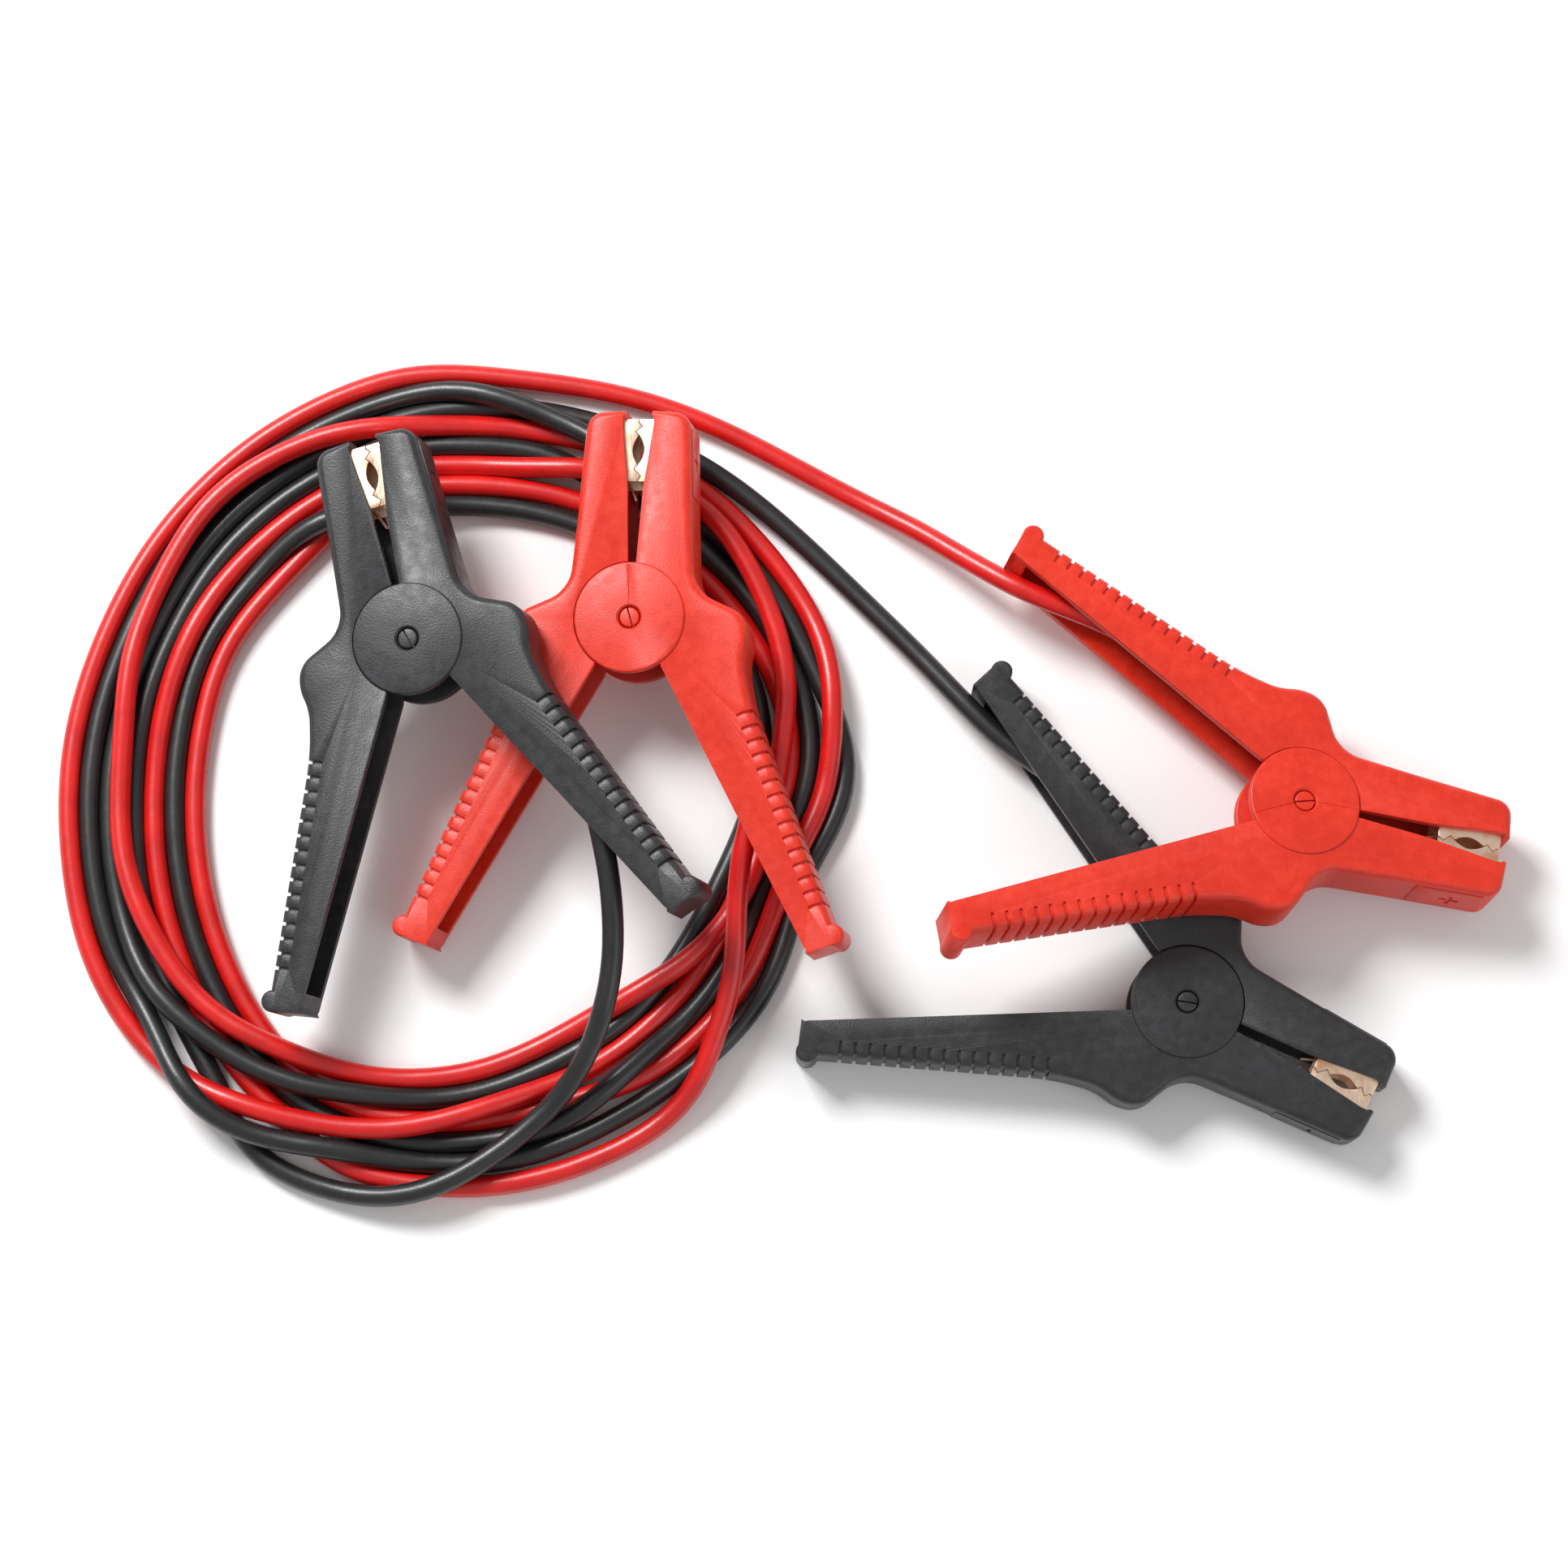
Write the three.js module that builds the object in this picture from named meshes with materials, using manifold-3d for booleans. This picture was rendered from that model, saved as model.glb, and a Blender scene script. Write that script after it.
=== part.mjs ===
// Car jumper cables: a red and a black lead, each with a spring clamp at both ends,
// wound together into one loose coil on the floor, with the four clamps lying on and beside it.
// Millimetres, +Z up, floor at z = 0. A clamp is drawn in its own frame: its pivot pin on Z,
// its jaws along +Y, its two handles towards -Y. Its two levers are the same moulding: one has
// its cover disc on top, and the other is turned half a turn about Y.
import * as THREE from "three";
import { mergeVertices } from "three/addons/utils/BufferGeometryUtils.js";
import Module from "manifold-3d";

const wasm = await Module();
wasm.setup();

// Clearances
const GAP = 0.3;
const OVERLAP = 0.2;

// Lever, a channel moulding: two cheeks joined by a wall along the outer side
const LEVER_WIDTH = 18.6;
const CHEEK_WALL = 2.2;
const OUTER_WALL = 2.4;
const END_WALL = 2;
const JAW_LENGTH = 64.4;
const JAW_TIP_HALF = 15.6;
const JAW_ROOT_HALF = 19;
const JAW_CORNER = 4.4;
const JAW_GAP_AT_TIP = 4.4;
const JAW_GAP_AT_PIVOT = 1.3;
const HUMP_REACH = 36.2;
const HANDLE_START = new THREE.Vector2(37.8, -26);
const HANDLE_END = new THREE.Vector2(65, -91.5);
const HANDLE_INNER_START = new THREE.Vector2(10.3, -14.9);
const HANDLE_INNER_END = new THREE.Vector2(55.5, -96.2);
const HANDLE_TIP = new THREE.Vector2(58.7, -100.3);
const BULGE_REACH = 2.6;
const BULGE_LENGTH = 6.4;

// Grip grooves across the outer wall of a handle
const GROOVE_COUNT = 15;
const GROOVE_PITCH = 4.45;
const GROOVE_WIDTH = 1;
const GROOVE_DEPTH = 0.8;

// Pivot
const DISC_RADIUS = 17;
const DISC_RISE = 0.7;
const EYE_RADIUS = 12.5;
const EYE_THICKNESS = 2;
const LINK_RADIUS = 21;
const LINK_FROM = THREE.MathUtils.degToRad(-42);
const LINK_TO = THREE.MathUtils.degToRad(52);
const PIN_RADIUS = 3.1;
const PIN_HOLE_RADIUS = PIN_RADIUS + GAP;
const PIN_RECESS = 0.4;
const SPRING_WIRE = 2.2;

// Copper jaw liner
const CONTACT_LENGTH = 19.4;
const CONTACT_TIP_GAP = 0.5;
const CONTACT_SHEET = 0.8;
const TOOTH_DEPTH = 1.1;
const LENS_HALF_WIDTH = 1.9;

// Leads
const CABLE_DIAMETER = 6.5;
const CABLE_SIDES = 8;
const CABLE_STEP = 15;
const CRIMP_RADIUS = 4.6;
const CRIMP_LENGTH = 14;

// Coil: both leads wound together, two layers deep, drawn as one solid ring
const COIL_CENTRE = new THREE.Vector2(-137.16, 0.6);
const COIL_RADIUS = 101;
const COIL_BAND = 34;
const COIL_CROWN = 15;
const COIL_HEIGHT = 10.6;
const COIL_EDGE_HEIGHT = 6.5;
const COIL_SQUASH_X = 0.96;
const COIL_SQUASH_Y = 1.023;
const COIL_SIDES = 48;

const contactTop = JAW_LENGTH - END_WALL - CONTACT_TIP_GAP;
const contactBase = contactTop - CONTACT_LENGTH;
const half = LEVER_WIDTH / 2;
const cheekInside = half - CHEEK_WALL;
const discTop = half + DISC_RISE;
const discUnder = cheekInside;
const eyeTop = discUnder - GAP;
const eyeUnder = eyeTop - EYE_THICKNESS;

// Solids and booleans
function solid(geometry) {
  const plain = geometry.clone();
  plain.deleteAttribute("normal");
  plain.deleteAttribute("uv");
  const merged = mergeVertices(plain, 1e-4);
  return new wasm.Manifold(
    new wasm.Mesh({
      numProp: 3,
      vertProperties: new Float32Array(merged.attributes.position.array),
      triVerts: new Uint32Array(merged.index.array),
    }),
  );
}

function geometryOf(manifold) {
  const mesh = manifold.getMesh();
  const geometry = new THREE.BufferGeometry();
  geometry.setAttribute("position", new THREE.BufferAttribute(mesh.vertProperties, 3));
  geometry.setIndex(new THREE.BufferAttribute(mesh.triVerts, 1));
  geometry.computeVertexNormals();
  return geometry;
}

function slab(points, fromZ, toZ) {
  const shape = new THREE.Shape(points);
  const geometry = new THREE.ExtrudeGeometry(shape, { depth: toZ - fromZ, bevelEnabled: false });
  return solid(geometry.translate(0, 0, fromZ));
}

function roundSlab(radius, fromZ, toZ, sides = 32) {
  const geometry = new THREE.CylinderGeometry(radius, radius, toZ - fromZ, sides);
  return solid(geometry.rotateX(Math.PI / 2).translate(0, 0, (fromZ + toZ) / 2));
}

function ringSlab(innerRadius, outerRadius, fromZ, toZ, sides = 24) {
  const profile = [
    new THREE.Vector2(innerRadius, fromZ),
    new THREE.Vector2(outerRadius, fromZ),
    new THREE.Vector2(outerRadius, toZ),
    new THREE.Vector2(innerRadius, toZ),
    new THREE.Vector2(innerRadius, fromZ),
  ];
  return new THREE.LatheGeometry(profile, sides).rotateX(Math.PI / 2);
}

// The outer side of a lever, from its jaw tip over the hump to the end of its handle
function outerSide() {
  const tip = new THREE.Vector2(JAW_TIP_HALF - JAW_CORNER, JAW_LENGTH - 0.8);
  const corner = new THREE.QuadraticBezierCurve(
    tip,
    new THREE.Vector2(JAW_TIP_HALF, JAW_LENGTH - 1),
    new THREE.Vector2(JAW_TIP_HALF + 0.2, JAW_LENGTH - 0.8 - JAW_CORNER),
  );
  const shoulder = new THREE.SplineCurve([
    new THREE.Vector2(JAW_ROOT_HALF, 13.5),
    new THREE.Vector2(22.5, 7.2),
    new THREE.Vector2(28.5, 4.7),
    new THREE.Vector2(33.7, 1.6),
    new THREE.Vector2(HUMP_REACH, -3.4),
    new THREE.Vector2(HUMP_REACH - 1, -11),
    HANDLE_START,
  ]);
  const along = HANDLE_END.clone().sub(HANDLE_START).normalize();
  const outwards = new THREE.Vector2(-along.y, along.x);
  const bulge = new THREE.QuadraticBezierCurve(
    HANDLE_END.clone().addScaledVector(outwards, BULGE_REACH * 0.7),
    HANDLE_END.clone()
      .addScaledVector(outwards, BULGE_REACH * 1.5)
      .addScaledVector(along, BULGE_LENGTH * 0.5),
    HANDLE_END.clone()
      .addScaledVector(outwards, BULGE_REACH * 0.5)
      .addScaledVector(along, BULGE_LENGTH),
  );
  return [
    ...corner.getPoints(3),
    new THREE.Vector2(JAW_ROOT_HALF - 1, 26),
    ...shoulder.getPoints(14),
    HANDLE_END,
    ...bulge.getPoints(5),
  ];
}

function inset(points, distance) {
  return points.map((point, index) => {
    const before = points[Math.max(index - 1, 0)];
    const after = points[Math.min(index + 1, points.length - 1)];
    const along = after.clone().sub(before).normalize();
    return point.clone().addScaledVector(new THREE.Vector2(along.y, -along.x), distance);
  });
}

function leverOutline() {
  return [
    new THREE.Vector2(JAW_GAP_AT_TIP, JAW_LENGTH),
    ...outerSide(),
    HANDLE_TIP,
    HANDLE_INNER_END,
    HANDLE_INNER_START,
    new THREE.Vector2(JAW_GAP_AT_PIVOT, DISC_RADIUS + GAP),
    new THREE.Vector2(JAW_GAP_AT_PIVOT + 1.2, contactBase - 3),
  ];
}

// The hollow runs from the jaw tip's wall to the handle's end wall and is open on the inner side
function leverHollow() {
  const far = -30;
  const side = inset(outerSide(), OUTER_WALL).filter(
    (point) => point.y < JAW_LENGTH - END_WALL && point.y > HANDLE_TIP.y + END_WALL + 1.5,
  );
  return [
    new THREE.Vector2(far, JAW_LENGTH - END_WALL),
    new THREE.Vector2(side[0].x, JAW_LENGTH - END_WALL),
    ...side,
    HANDLE_INNER_END.clone().add(new THREE.Vector2(0.2, END_WALL - 1)),
    HANDLE_INNER_END.clone().add(new THREE.Vector2(-8, END_WALL - 1)),
    new THREE.Vector2(far, -30),
  ];
}

function grooveCutter(index) {
  const along = HANDLE_END.clone().sub(HANDLE_START);
  const angle = Math.atan2(along.y, along.x);
  const distance = (index + 0.6) * GROOVE_PITCH;
  const centre = HANDLE_START.clone().addScaledVector(along.normalize(), distance);
  const box = new THREE.BoxGeometry(GROOVE_WIDTH, 2 * GROOVE_DEPTH, LEVER_WIDTH + 2);
  return solid(box.rotateZ(angle).translate(centre.x, centre.y, 0));
}

function eyePlate() {
  const sector = [new THREE.Vector2(0, 0)];
  for (let step = 0; step <= 8; step += 1) {
    const angle = LINK_FROM + (LINK_TO - LINK_FROM) * (step / 8);
    sector.push(new THREE.Vector2(Math.cos(angle), Math.sin(angle)).multiplyScalar(LINK_RADIUS));
  }
  const plate = roundSlab(EYE_RADIUS, -eyeTop, -eyeUnder).add(slab(sector, -eyeTop, -eyeUnder));
  const weld = slab(sector, -cheekInside - OVERLAP, -eyeUnder);
  const clearOfDisc = roundSlab(DISC_RADIUS + GAP, -discTop, -eyeTop);
  return plate.add(weld.subtract(clearOfDisc));
}

function leverSolid() {
  let body = slab(leverOutline(), -half, half);
  body = body.subtract(slab(leverHollow(), -cheekInside, cheekInside));
  body = body.subtract(roundSlab(DISC_RADIUS + GAP, -half - 1, -cheekInside + OVERLAP));
  body = body.add(roundSlab(DISC_RADIUS, discUnder, discTop));
  body = body.add(eyePlate());
  body = body.subtract(roundSlab(PIN_HOLE_RADIUS, -discTop - 1, discTop + 1, 20));
  for (let index = 0; index < GROOVE_COUNT; index += 1) {
    body = body.subtract(grooveCutter(index));
  }
  return body;
}

// Copper liner of one jaw: two toothed flanges and the web that joins them behind
function contactSolid(side) {
  const teeth = [0, 1, -1, 0.4, 0.4, -1, 1, 0];
  const lens = [0, 0, 0, 1, 1, 0, 0, 0];
  const stations = [0, 0.13, 0.26, 0.42, 0.6, 0.78, 0.9, 1];
  const edge = stations.map((station, index) => {
    const zigzag = teeth[index] * TOOTH_DEPTH * side;
    const x = GAP / 2 + zigzag * (lens[index] ? 0 : 1) + lens[index] * LENS_HALF_WIDTH;
    return new THREE.Vector2(x, contactBase + station * CONTACT_LENGTH);
  });
  const back = inset(outerSide(), OUTER_WALL + 2 * GAP);
  const backX = (y) => {
    const next = back.findIndex((point) => point.y < y);
    const a = back[next - 1];
    const b = back[next];
    return a.x + ((b.x - a.x) * (a.y - y)) / (a.y - b.y);
  };
  const webTop = contactTop - 3;
  const flange = [
    ...edge.reverse(),
    new THREE.Vector2(backX(contactBase), contactBase),
    new THREE.Vector2(backX(webTop), webTop),
    new THREE.Vector2(backX(webTop) - 3, contactTop),
  ];
  const web = [
    new THREE.Vector2(backX(contactBase) - CONTACT_SHEET, contactBase),
    new THREE.Vector2(backX(contactBase), contactBase),
    new THREE.Vector2(backX(webTop), webTop),
    new THREE.Vector2(backX(webTop) - CONTACT_SHEET, webTop),
  ];
  const outside = cheekInside - GAP;
  return slab(flange, outside - CONTACT_SHEET, outside)
    .add(slab(flange, -outside, -outside + CONTACT_SHEET))
    .add(slab(web, -outside, outside));
}

// Colours
const redPlastic = new THREE.MeshStandardMaterial({ color: 0xe0432d, roughness: 0.55 });
const blackPlastic = new THREE.MeshStandardMaterial({ color: 0x3a3a3d, roughness: 0.5 });
const redCable = new THREE.MeshStandardMaterial({ color: 0xdc1410, roughness: 0.35 });
const blackCable = new THREE.MeshStandardMaterial({ color: 0x2b2c2e, roughness: 0.35 });
const copper = new THREE.MeshStandardMaterial({ color: 0xe8b48c, roughness: 0.3, metalness: 1 });
const steel = new THREE.MeshStandardMaterial({ color: 0xb8babc, roughness: 0.35, metalness: 1 });

function named(name, geometry, material, parent) {
  const mesh = new THREE.Mesh(geometry, material);
  mesh.name = name;
  parent.add(mesh);
  return mesh;
}

const leverGeometry = geometryOf(leverSolid());
const contactGeometries = { 1: geometryOf(contactSolid(1)), [-1]: geometryOf(contactSolid(-1)) };
const pinGeometry = new THREE.CylinderGeometry(
  PIN_RADIUS,
  PIN_RADIUS,
  2 * (discTop - PIN_RECESS),
  16,
).rotateX(Math.PI / 2);
const springGeometry = ringSlab(
  PIN_HOLE_RADIUS,
  PIN_HOLE_RADIUS + SPRING_WIRE,
  -eyeUnder + GAP,
  eyeUnder - GAP,
);

// A lever on the -X side is the +X lever turned half a turn about Y
function turned(mesh, side) {
  if (side < 0) {
    mesh.rotation.y = Math.PI;
  }
  return mesh;
}

// Crimp that ends the cable, against the outer wall inside the handle of the cable's lever
function crimpPlace(side, crimpAlong) {
  const along = HANDLE_END.clone().sub(HANDLE_START).normalize();
  const outwards = new THREE.Vector2(-along.y, along.x);
  const place = HANDLE_START.clone()
    .addScaledVector(along, crimpAlong)
    .addScaledVector(outwards, -(OUTER_WALL + GAP + CRIMP_RADIUS));
  return {
    x: side * place.x,
    y: place.y,
    turn: side * Math.atan2(along.x, -along.y),
  };
}

function clamp(spec) {
  const group = new THREE.Group();
  const free = -spec.cableSide;
  const ends = [
    ["cable_lever", "cable_contact", spec.cableSide],
    ["free_lever", "free_contact", free],
  ];
  for (const [lever, contact, side] of ends) {
    turned(named(`${lever}_${spec.name}`, leverGeometry, spec.plastic, group), side);
    turned(named(`${contact}_${spec.name}`, contactGeometries[side], copper, group), side);
  }
  named(`pivot_pin_${spec.name}`, pinGeometry, spec.plastic, group);
  named(`spring_coil_${spec.name}`, springGeometry, steel, group);
  const crimp = crimpPlace(spec.cableSide, spec.crimpAlong);
  const barrel = new THREE.CylinderGeometry(CRIMP_RADIUS, CRIMP_RADIUS, CRIMP_LENGTH, 12);
  const crimpMesh = named(`crimp_${spec.name}`, barrel, steel, group);
  crimpMesh.position.set(crimp.x, crimp.y, 0);
  crimpMesh.rotation.z = crimp.turn;
  const normal = new THREE.Vector3(-spec.slopeX, -spec.slopeY, 1).normalize();
  const bearing = THREE.MathUtils.degToRad(spec.bearing);
  const rise = spec.slopeX * Math.cos(bearing) + spec.slopeY * Math.sin(bearing);
  const jaws = new THREE.Vector3(Math.cos(bearing), Math.sin(bearing), rise).normalize();
  const across = new THREE.Vector3().crossVectors(jaws, normal);
  group.setRotationFromMatrix(new THREE.Matrix4().makeBasis(across, jaws, normal));
  group.position.set(...spec.at);
  return group;
}

// Where each clamp lies: its pivot, the bearing of its jaws from +X, and how its plane slopes
const clamps = [
  {
    name: "black_left",
    plastic: blackPlastic,
    cableSide: 1,
    crimpAlong: 6,
    at: [-142.76, 37.3, 34.9],
    bearing: 103.6,
    slopeX: 0.2,
    slopeY: 0.03,
  },
  {
    name: "red_left",
    plastic: redPlastic,
    cableSide: 1,
    crimpAlong: 6,
    at: [-77.36, 46, 24.4],
    bearing: 87.8,
    slopeX: 0.15,
    slopeY: 0.02,
  },
  {
    name: "red_right",
    plastic: redPlastic,
    cableSide: -1,
    crimpAlong: 16,
    at: [122.84, -11.6, 21.6],
    bearing: -12.3,
    slopeX: -0.16,
    slopeY: -0.19,
  },
  {
    name: "black_right",
    plastic: blackPlastic,
    cableSide: -1,
    crimpAlong: 16,
    at: [89.14, -69.2, 10],
    bearing: -27.1,
    slopeX: 0,
    slopeY: 0,
  },
];

// The stretches of lead outside the coil, each from its crimp to the coil
const leads = [
  {
    name: "lead_red_to_right_clamp",
    material: redCable,
    route: [
      [81.34, 37.4, 18.9],
      [76.64, 40.6, 19.1],
      [70.04, 44.7, 19.4],
      [60.04, 49.4, 20],
      [48.34, 54, 20.6],
      [36.04, 59.6, 19.6],
      [21.64, 70, 13.6],
      [1.74, 83.4, 7],
      [-23.46, 96.4, 3.6],
      [-41.16, 106, 3.6],
      [-61.46, 117.3, 3.6],
      [-79.26, 124.4, 3.6],
      [-99.56, 127.2, 3.6],
      [-114.76, 126, 3.6],
      [-124.96, 124.3, 3.6],
    ],
  },
  {
    name: "lead_black_to_right_clamp",
    material: blackCable,
    route: [
      [62.54, -10.7, 10],
      [58.84, -6.3, 10],
      [52.84, -0.4, 10],
      [43.64, 6.2, 10],
      [33.24, 13.9, 9.8],
      [23.04, 24.4, 8.8],
      [6.54, 43.1, 5.5],
      [-15.96, 64.8, 3.6],
      [-33.56, 82.7, 3.6],
      [-48.76, 95.1, 3.6],
      [-59.66, 100.8, 3.6],
      [-74.06, 105.7, 3.6],
    ],
  },
  {
    name: "lead_black_to_left_clamp",
    material: blackCable,
    route: [
      [-98.66, 5.8, 42.8],
      [-95.36, 1.2, 43.3],
      [-91.96, -4.4, 43.8],
      [-88.66, -12.8, 44],
      [-85.96, -23.8, 43],
      [-83.76, -36.4, 41],
      [-82.86, -50.8, 38.2],
      [-83.66, -65.1, 35],
      [-87.06, -77.4, 31],
      [-92.56, -87.5, 26],
      [-99.96, -97.6, 20.4],
      [-109.36, -106.9, 15.6],
      [-119.76, -114.2, 12.8],
      [-124.56, -116.6, 12.2],
    ],
  },
  {
    name: "lead_red_to_left_clamp",
    material: redCable,
    route: [
      [-43.16, 3.5, 28.7],
      [-41.26, -1.9, 28.9],
      [-40.96, -8.5, 28.6],
      [-42.76, -17, 27.6],
      [-44.96, -27, 25.4],
      [-46.36, -38.5, 22],
      [-46.76, -52, 18.2],
      [-48.16, -65.8, 15.2],
      [-53.06, -78.8, 12.8],
      [-58.36, -89.3, 10.4],
      [-64.76, -97.9, 8.2],
      [-72.66, -105.3, 5.8],
      [-81.86, -111.6, 4],
      [-90.66, -116, 3.6],
      [-102.16, -119.6, 3.6],
      [-113.96, -121.4, 3.6],
    ],
  },
];

function leadTube(route) {
  const path = new THREE.CatmullRomCurve3(route.map((point) => new THREE.Vector3(...point)));
  const section = [];
  for (let index = 0; index < CABLE_SIDES; index += 1) {
    const angle = (index / CABLE_SIDES) * 2 * Math.PI;
    const corner = new THREE.Vector2(Math.cos(angle), Math.sin(angle));
    section.push(corner.multiplyScalar(CABLE_DIAMETER / 2));
  }
  const steps = Math.round(path.getLength() / CABLE_STEP);
  return new THREE.ExtrudeGeometry(new THREE.Shape(section), { steps, extrudePath: path });
}

// The band of turns: one layer of cable at both edges and a second layer along the middle
function coilRing() {
  const profile = [
    new THREE.Vector2(COIL_RADIUS - COIL_BAND / 2, 0),
    new THREE.Vector2(COIL_RADIUS + COIL_BAND / 2, 0),
    new THREE.Vector2(COIL_RADIUS + COIL_BAND / 2, COIL_EDGE_HEIGHT),
    new THREE.Vector2(COIL_RADIUS + COIL_CROWN / 2, COIL_HEIGHT),
    new THREE.Vector2(COIL_RADIUS - COIL_CROWN / 2, COIL_HEIGHT),
    new THREE.Vector2(COIL_RADIUS - COIL_BAND / 2, COIL_EDGE_HEIGHT),
    new THREE.Vector2(COIL_RADIUS - COIL_BAND / 2, 0),
  ];
  const ring = new THREE.LatheGeometry(profile, COIL_SIDES).rotateX(Math.PI / 2);
  return ring.scale(COIL_SQUASH_X, COIL_SQUASH_Y, 1).translate(COIL_CENTRE.x, COIL_CENTRE.y, 0);
}

const set = new THREE.Group();
named("coil_of_both_leads", coilRing(), redCable, set);
for (const lead of leads) {
  named(lead.name, leadTube(lead.route), lead.material, set);
}
for (const spec of clamps) {
  set.add(clamp(spec));
}

export default set;
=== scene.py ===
# %% [markdown]
# Car jumper cables, step by step. The set is a red and a black lead, wound together into a loose
# coil, with a spring clamp at each end. The engineering model is loaded first and stays as it is.
# Everything that follows dresses it: real strands of cable in place of the plain ring, rounded
# plastic levers with grip slots, toothed copper contacts, split pins, springs and crimps.

# %% Load the engineering model
import math

import bmesh
import bpy
import numpy as np
from mathutils import Matrix, Vector


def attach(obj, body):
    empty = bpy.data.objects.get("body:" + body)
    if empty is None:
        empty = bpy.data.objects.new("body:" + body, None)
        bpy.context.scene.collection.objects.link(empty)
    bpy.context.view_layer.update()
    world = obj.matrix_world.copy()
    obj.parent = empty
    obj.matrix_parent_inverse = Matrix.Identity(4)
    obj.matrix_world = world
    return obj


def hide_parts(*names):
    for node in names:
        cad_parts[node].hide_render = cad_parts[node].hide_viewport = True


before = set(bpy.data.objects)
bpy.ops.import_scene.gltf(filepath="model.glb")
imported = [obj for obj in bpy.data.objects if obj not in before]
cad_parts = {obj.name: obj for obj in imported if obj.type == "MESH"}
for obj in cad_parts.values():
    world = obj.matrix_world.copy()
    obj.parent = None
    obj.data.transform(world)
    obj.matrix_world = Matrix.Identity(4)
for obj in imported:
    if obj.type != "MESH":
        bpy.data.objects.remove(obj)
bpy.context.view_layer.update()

MM = 0.001

# %% [markdown]
# The camera looks almost straight down, 80 degrees above the horizon, from 1.25 m away through a
# long lens. It is made first because the loops of cable are placed by where they are seen: a
# point of the picture and a height above the floor together give one point in space.

# %% Camera
TARGET = Vector((-32.06, 0.6, 0.0)) * MM
DISTANCE = 1250 * MM
ELEVATION = math.radians(80)
PICTURE = 1932
FOCAL_PIXELS = 5000
SENSOR = 36
BACK = Vector((0.0, -math.cos(ELEVATION), math.sin(ELEVATION)))
UPWARDS = Vector((0.0, math.sin(ELEVATION), math.cos(ELEVATION)))
EYE = TARGET + DISTANCE * BACK

camera_data = bpy.data.cameras.new("camera")
camera_data.sensor_width = SENSOR
camera_data.lens = SENSOR * FOCAL_PIXELS / PICTURE
camera = bpy.data.objects.new("camera", camera_data)
camera.location = EYE
camera.rotation_mode = "QUATERNION"
camera.rotation_quaternion = (-BACK).to_track_quat("-Z", "Y")
bpy.context.scene.collection.objects.link(camera)
bpy.context.scene.camera = camera


def seen_at(column, row, height):
    """The point in space that is seen at this pixel and lies this many millimetres up."""
    across = Vector((1.0, 0.0, 0.0)) * (column - PICTURE / 2)
    ray = across + UPWARDS * (PICTURE / 2 - row) - BACK * FOCAL_PIXELS
    return EYE + ray * ((height * MM - EYE.z) / ray.z)


print("camera at", [round(value, 3) for value in EYE], "lens", round(camera_data.lens, 1), "mm")

# %% [markdown]
# The leads are PVC-covered copper strand, 6.5 mm thick. Each one is a curve with a round bevel,
# turned into a mesh. Where a lead runs from its clamp to the coil it repeats the engineering
# model's route, in metres. In the coil each lead makes three and a half turns, and every turn is
# a row of picture points with a height: 3 mm lies on the floor, 9 mm lies on another strand.

# %% Routes between the clamps and the coil
CABLE = 6.5 * MM
RED_TO_RIGHT_CLAMP = [
    (0.08134, 0.0374, 0.0189), (0.07664, 0.0406, 0.0191), (0.07004, 0.0447, 0.0194),
    (0.06004, 0.0494, 0.02), (0.04834, 0.054, 0.0206), (0.03604, 0.0596, 0.0196),
    (0.02164, 0.07, 0.0136), (0.00174, 0.0834, 0.007), (-0.02346, 0.0964, 0.0036),
    (-0.04116, 0.106, 0.0036), (-0.06146, 0.1173, 0.0036),
]
BLACK_TO_RIGHT_CLAMP = [
    (0.06254, -0.0107, 0.01), (0.05884, -0.0063, 0.01), (0.05284, -0.0004, 0.01),
    (0.04364, 0.0062, 0.01), (0.03324, 0.0139, 0.0098), (0.02304, 0.0244, 0.0088),
    (0.00654, 0.0431, 0.0055), (-0.01596, 0.0648, 0.0036), (-0.03356, 0.0827, 0.0036),
    (-0.04876, 0.0951, 0.0036), (-0.05966, 0.1008, 0.0036),
]
BLACK_TO_LEFT_CLAMP = [
    (-0.09866, 0.0058, 0.0428), (-0.09536, 0.0012, 0.0433), (-0.09196, -0.0044, 0.0438),
    (-0.08866, -0.0128, 0.044), (-0.08596, -0.0238, 0.043), (-0.08376, -0.0364, 0.041),
    (-0.08286, -0.0508, 0.0382), (-0.08366, -0.0651, 0.035), (-0.08706, -0.0774, 0.031),
    (-0.09256, -0.0875, 0.026), (-0.09996, -0.0976, 0.0204), (-0.10936, -0.1069, 0.0156),
    (-0.11976, -0.1142, 0.0128),
]
RED_TO_LEFT_CLAMP = [
    (-0.04316, 0.0035, 0.0287), (-0.04126, -0.0019, 0.0289), (-0.04096, -0.0085, 0.0286),
    (-0.04276, -0.017, 0.0276), (-0.04496, -0.027, 0.0254), (-0.04636, -0.0385, 0.022),
    (-0.04676, -0.052, 0.0182), (-0.04816, -0.0658, 0.0152), (-0.05306, -0.0788, 0.0128),
    (-0.05836, -0.0893, 0.0104), (-0.06476, -0.0979, 0.0082), (-0.07266, -0.1053, 0.0058),
    (-0.08186, -0.1116, 0.004), (-0.09066, -0.116, 0.0036), (-0.10216, -0.1196, 0.0036),
]

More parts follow.
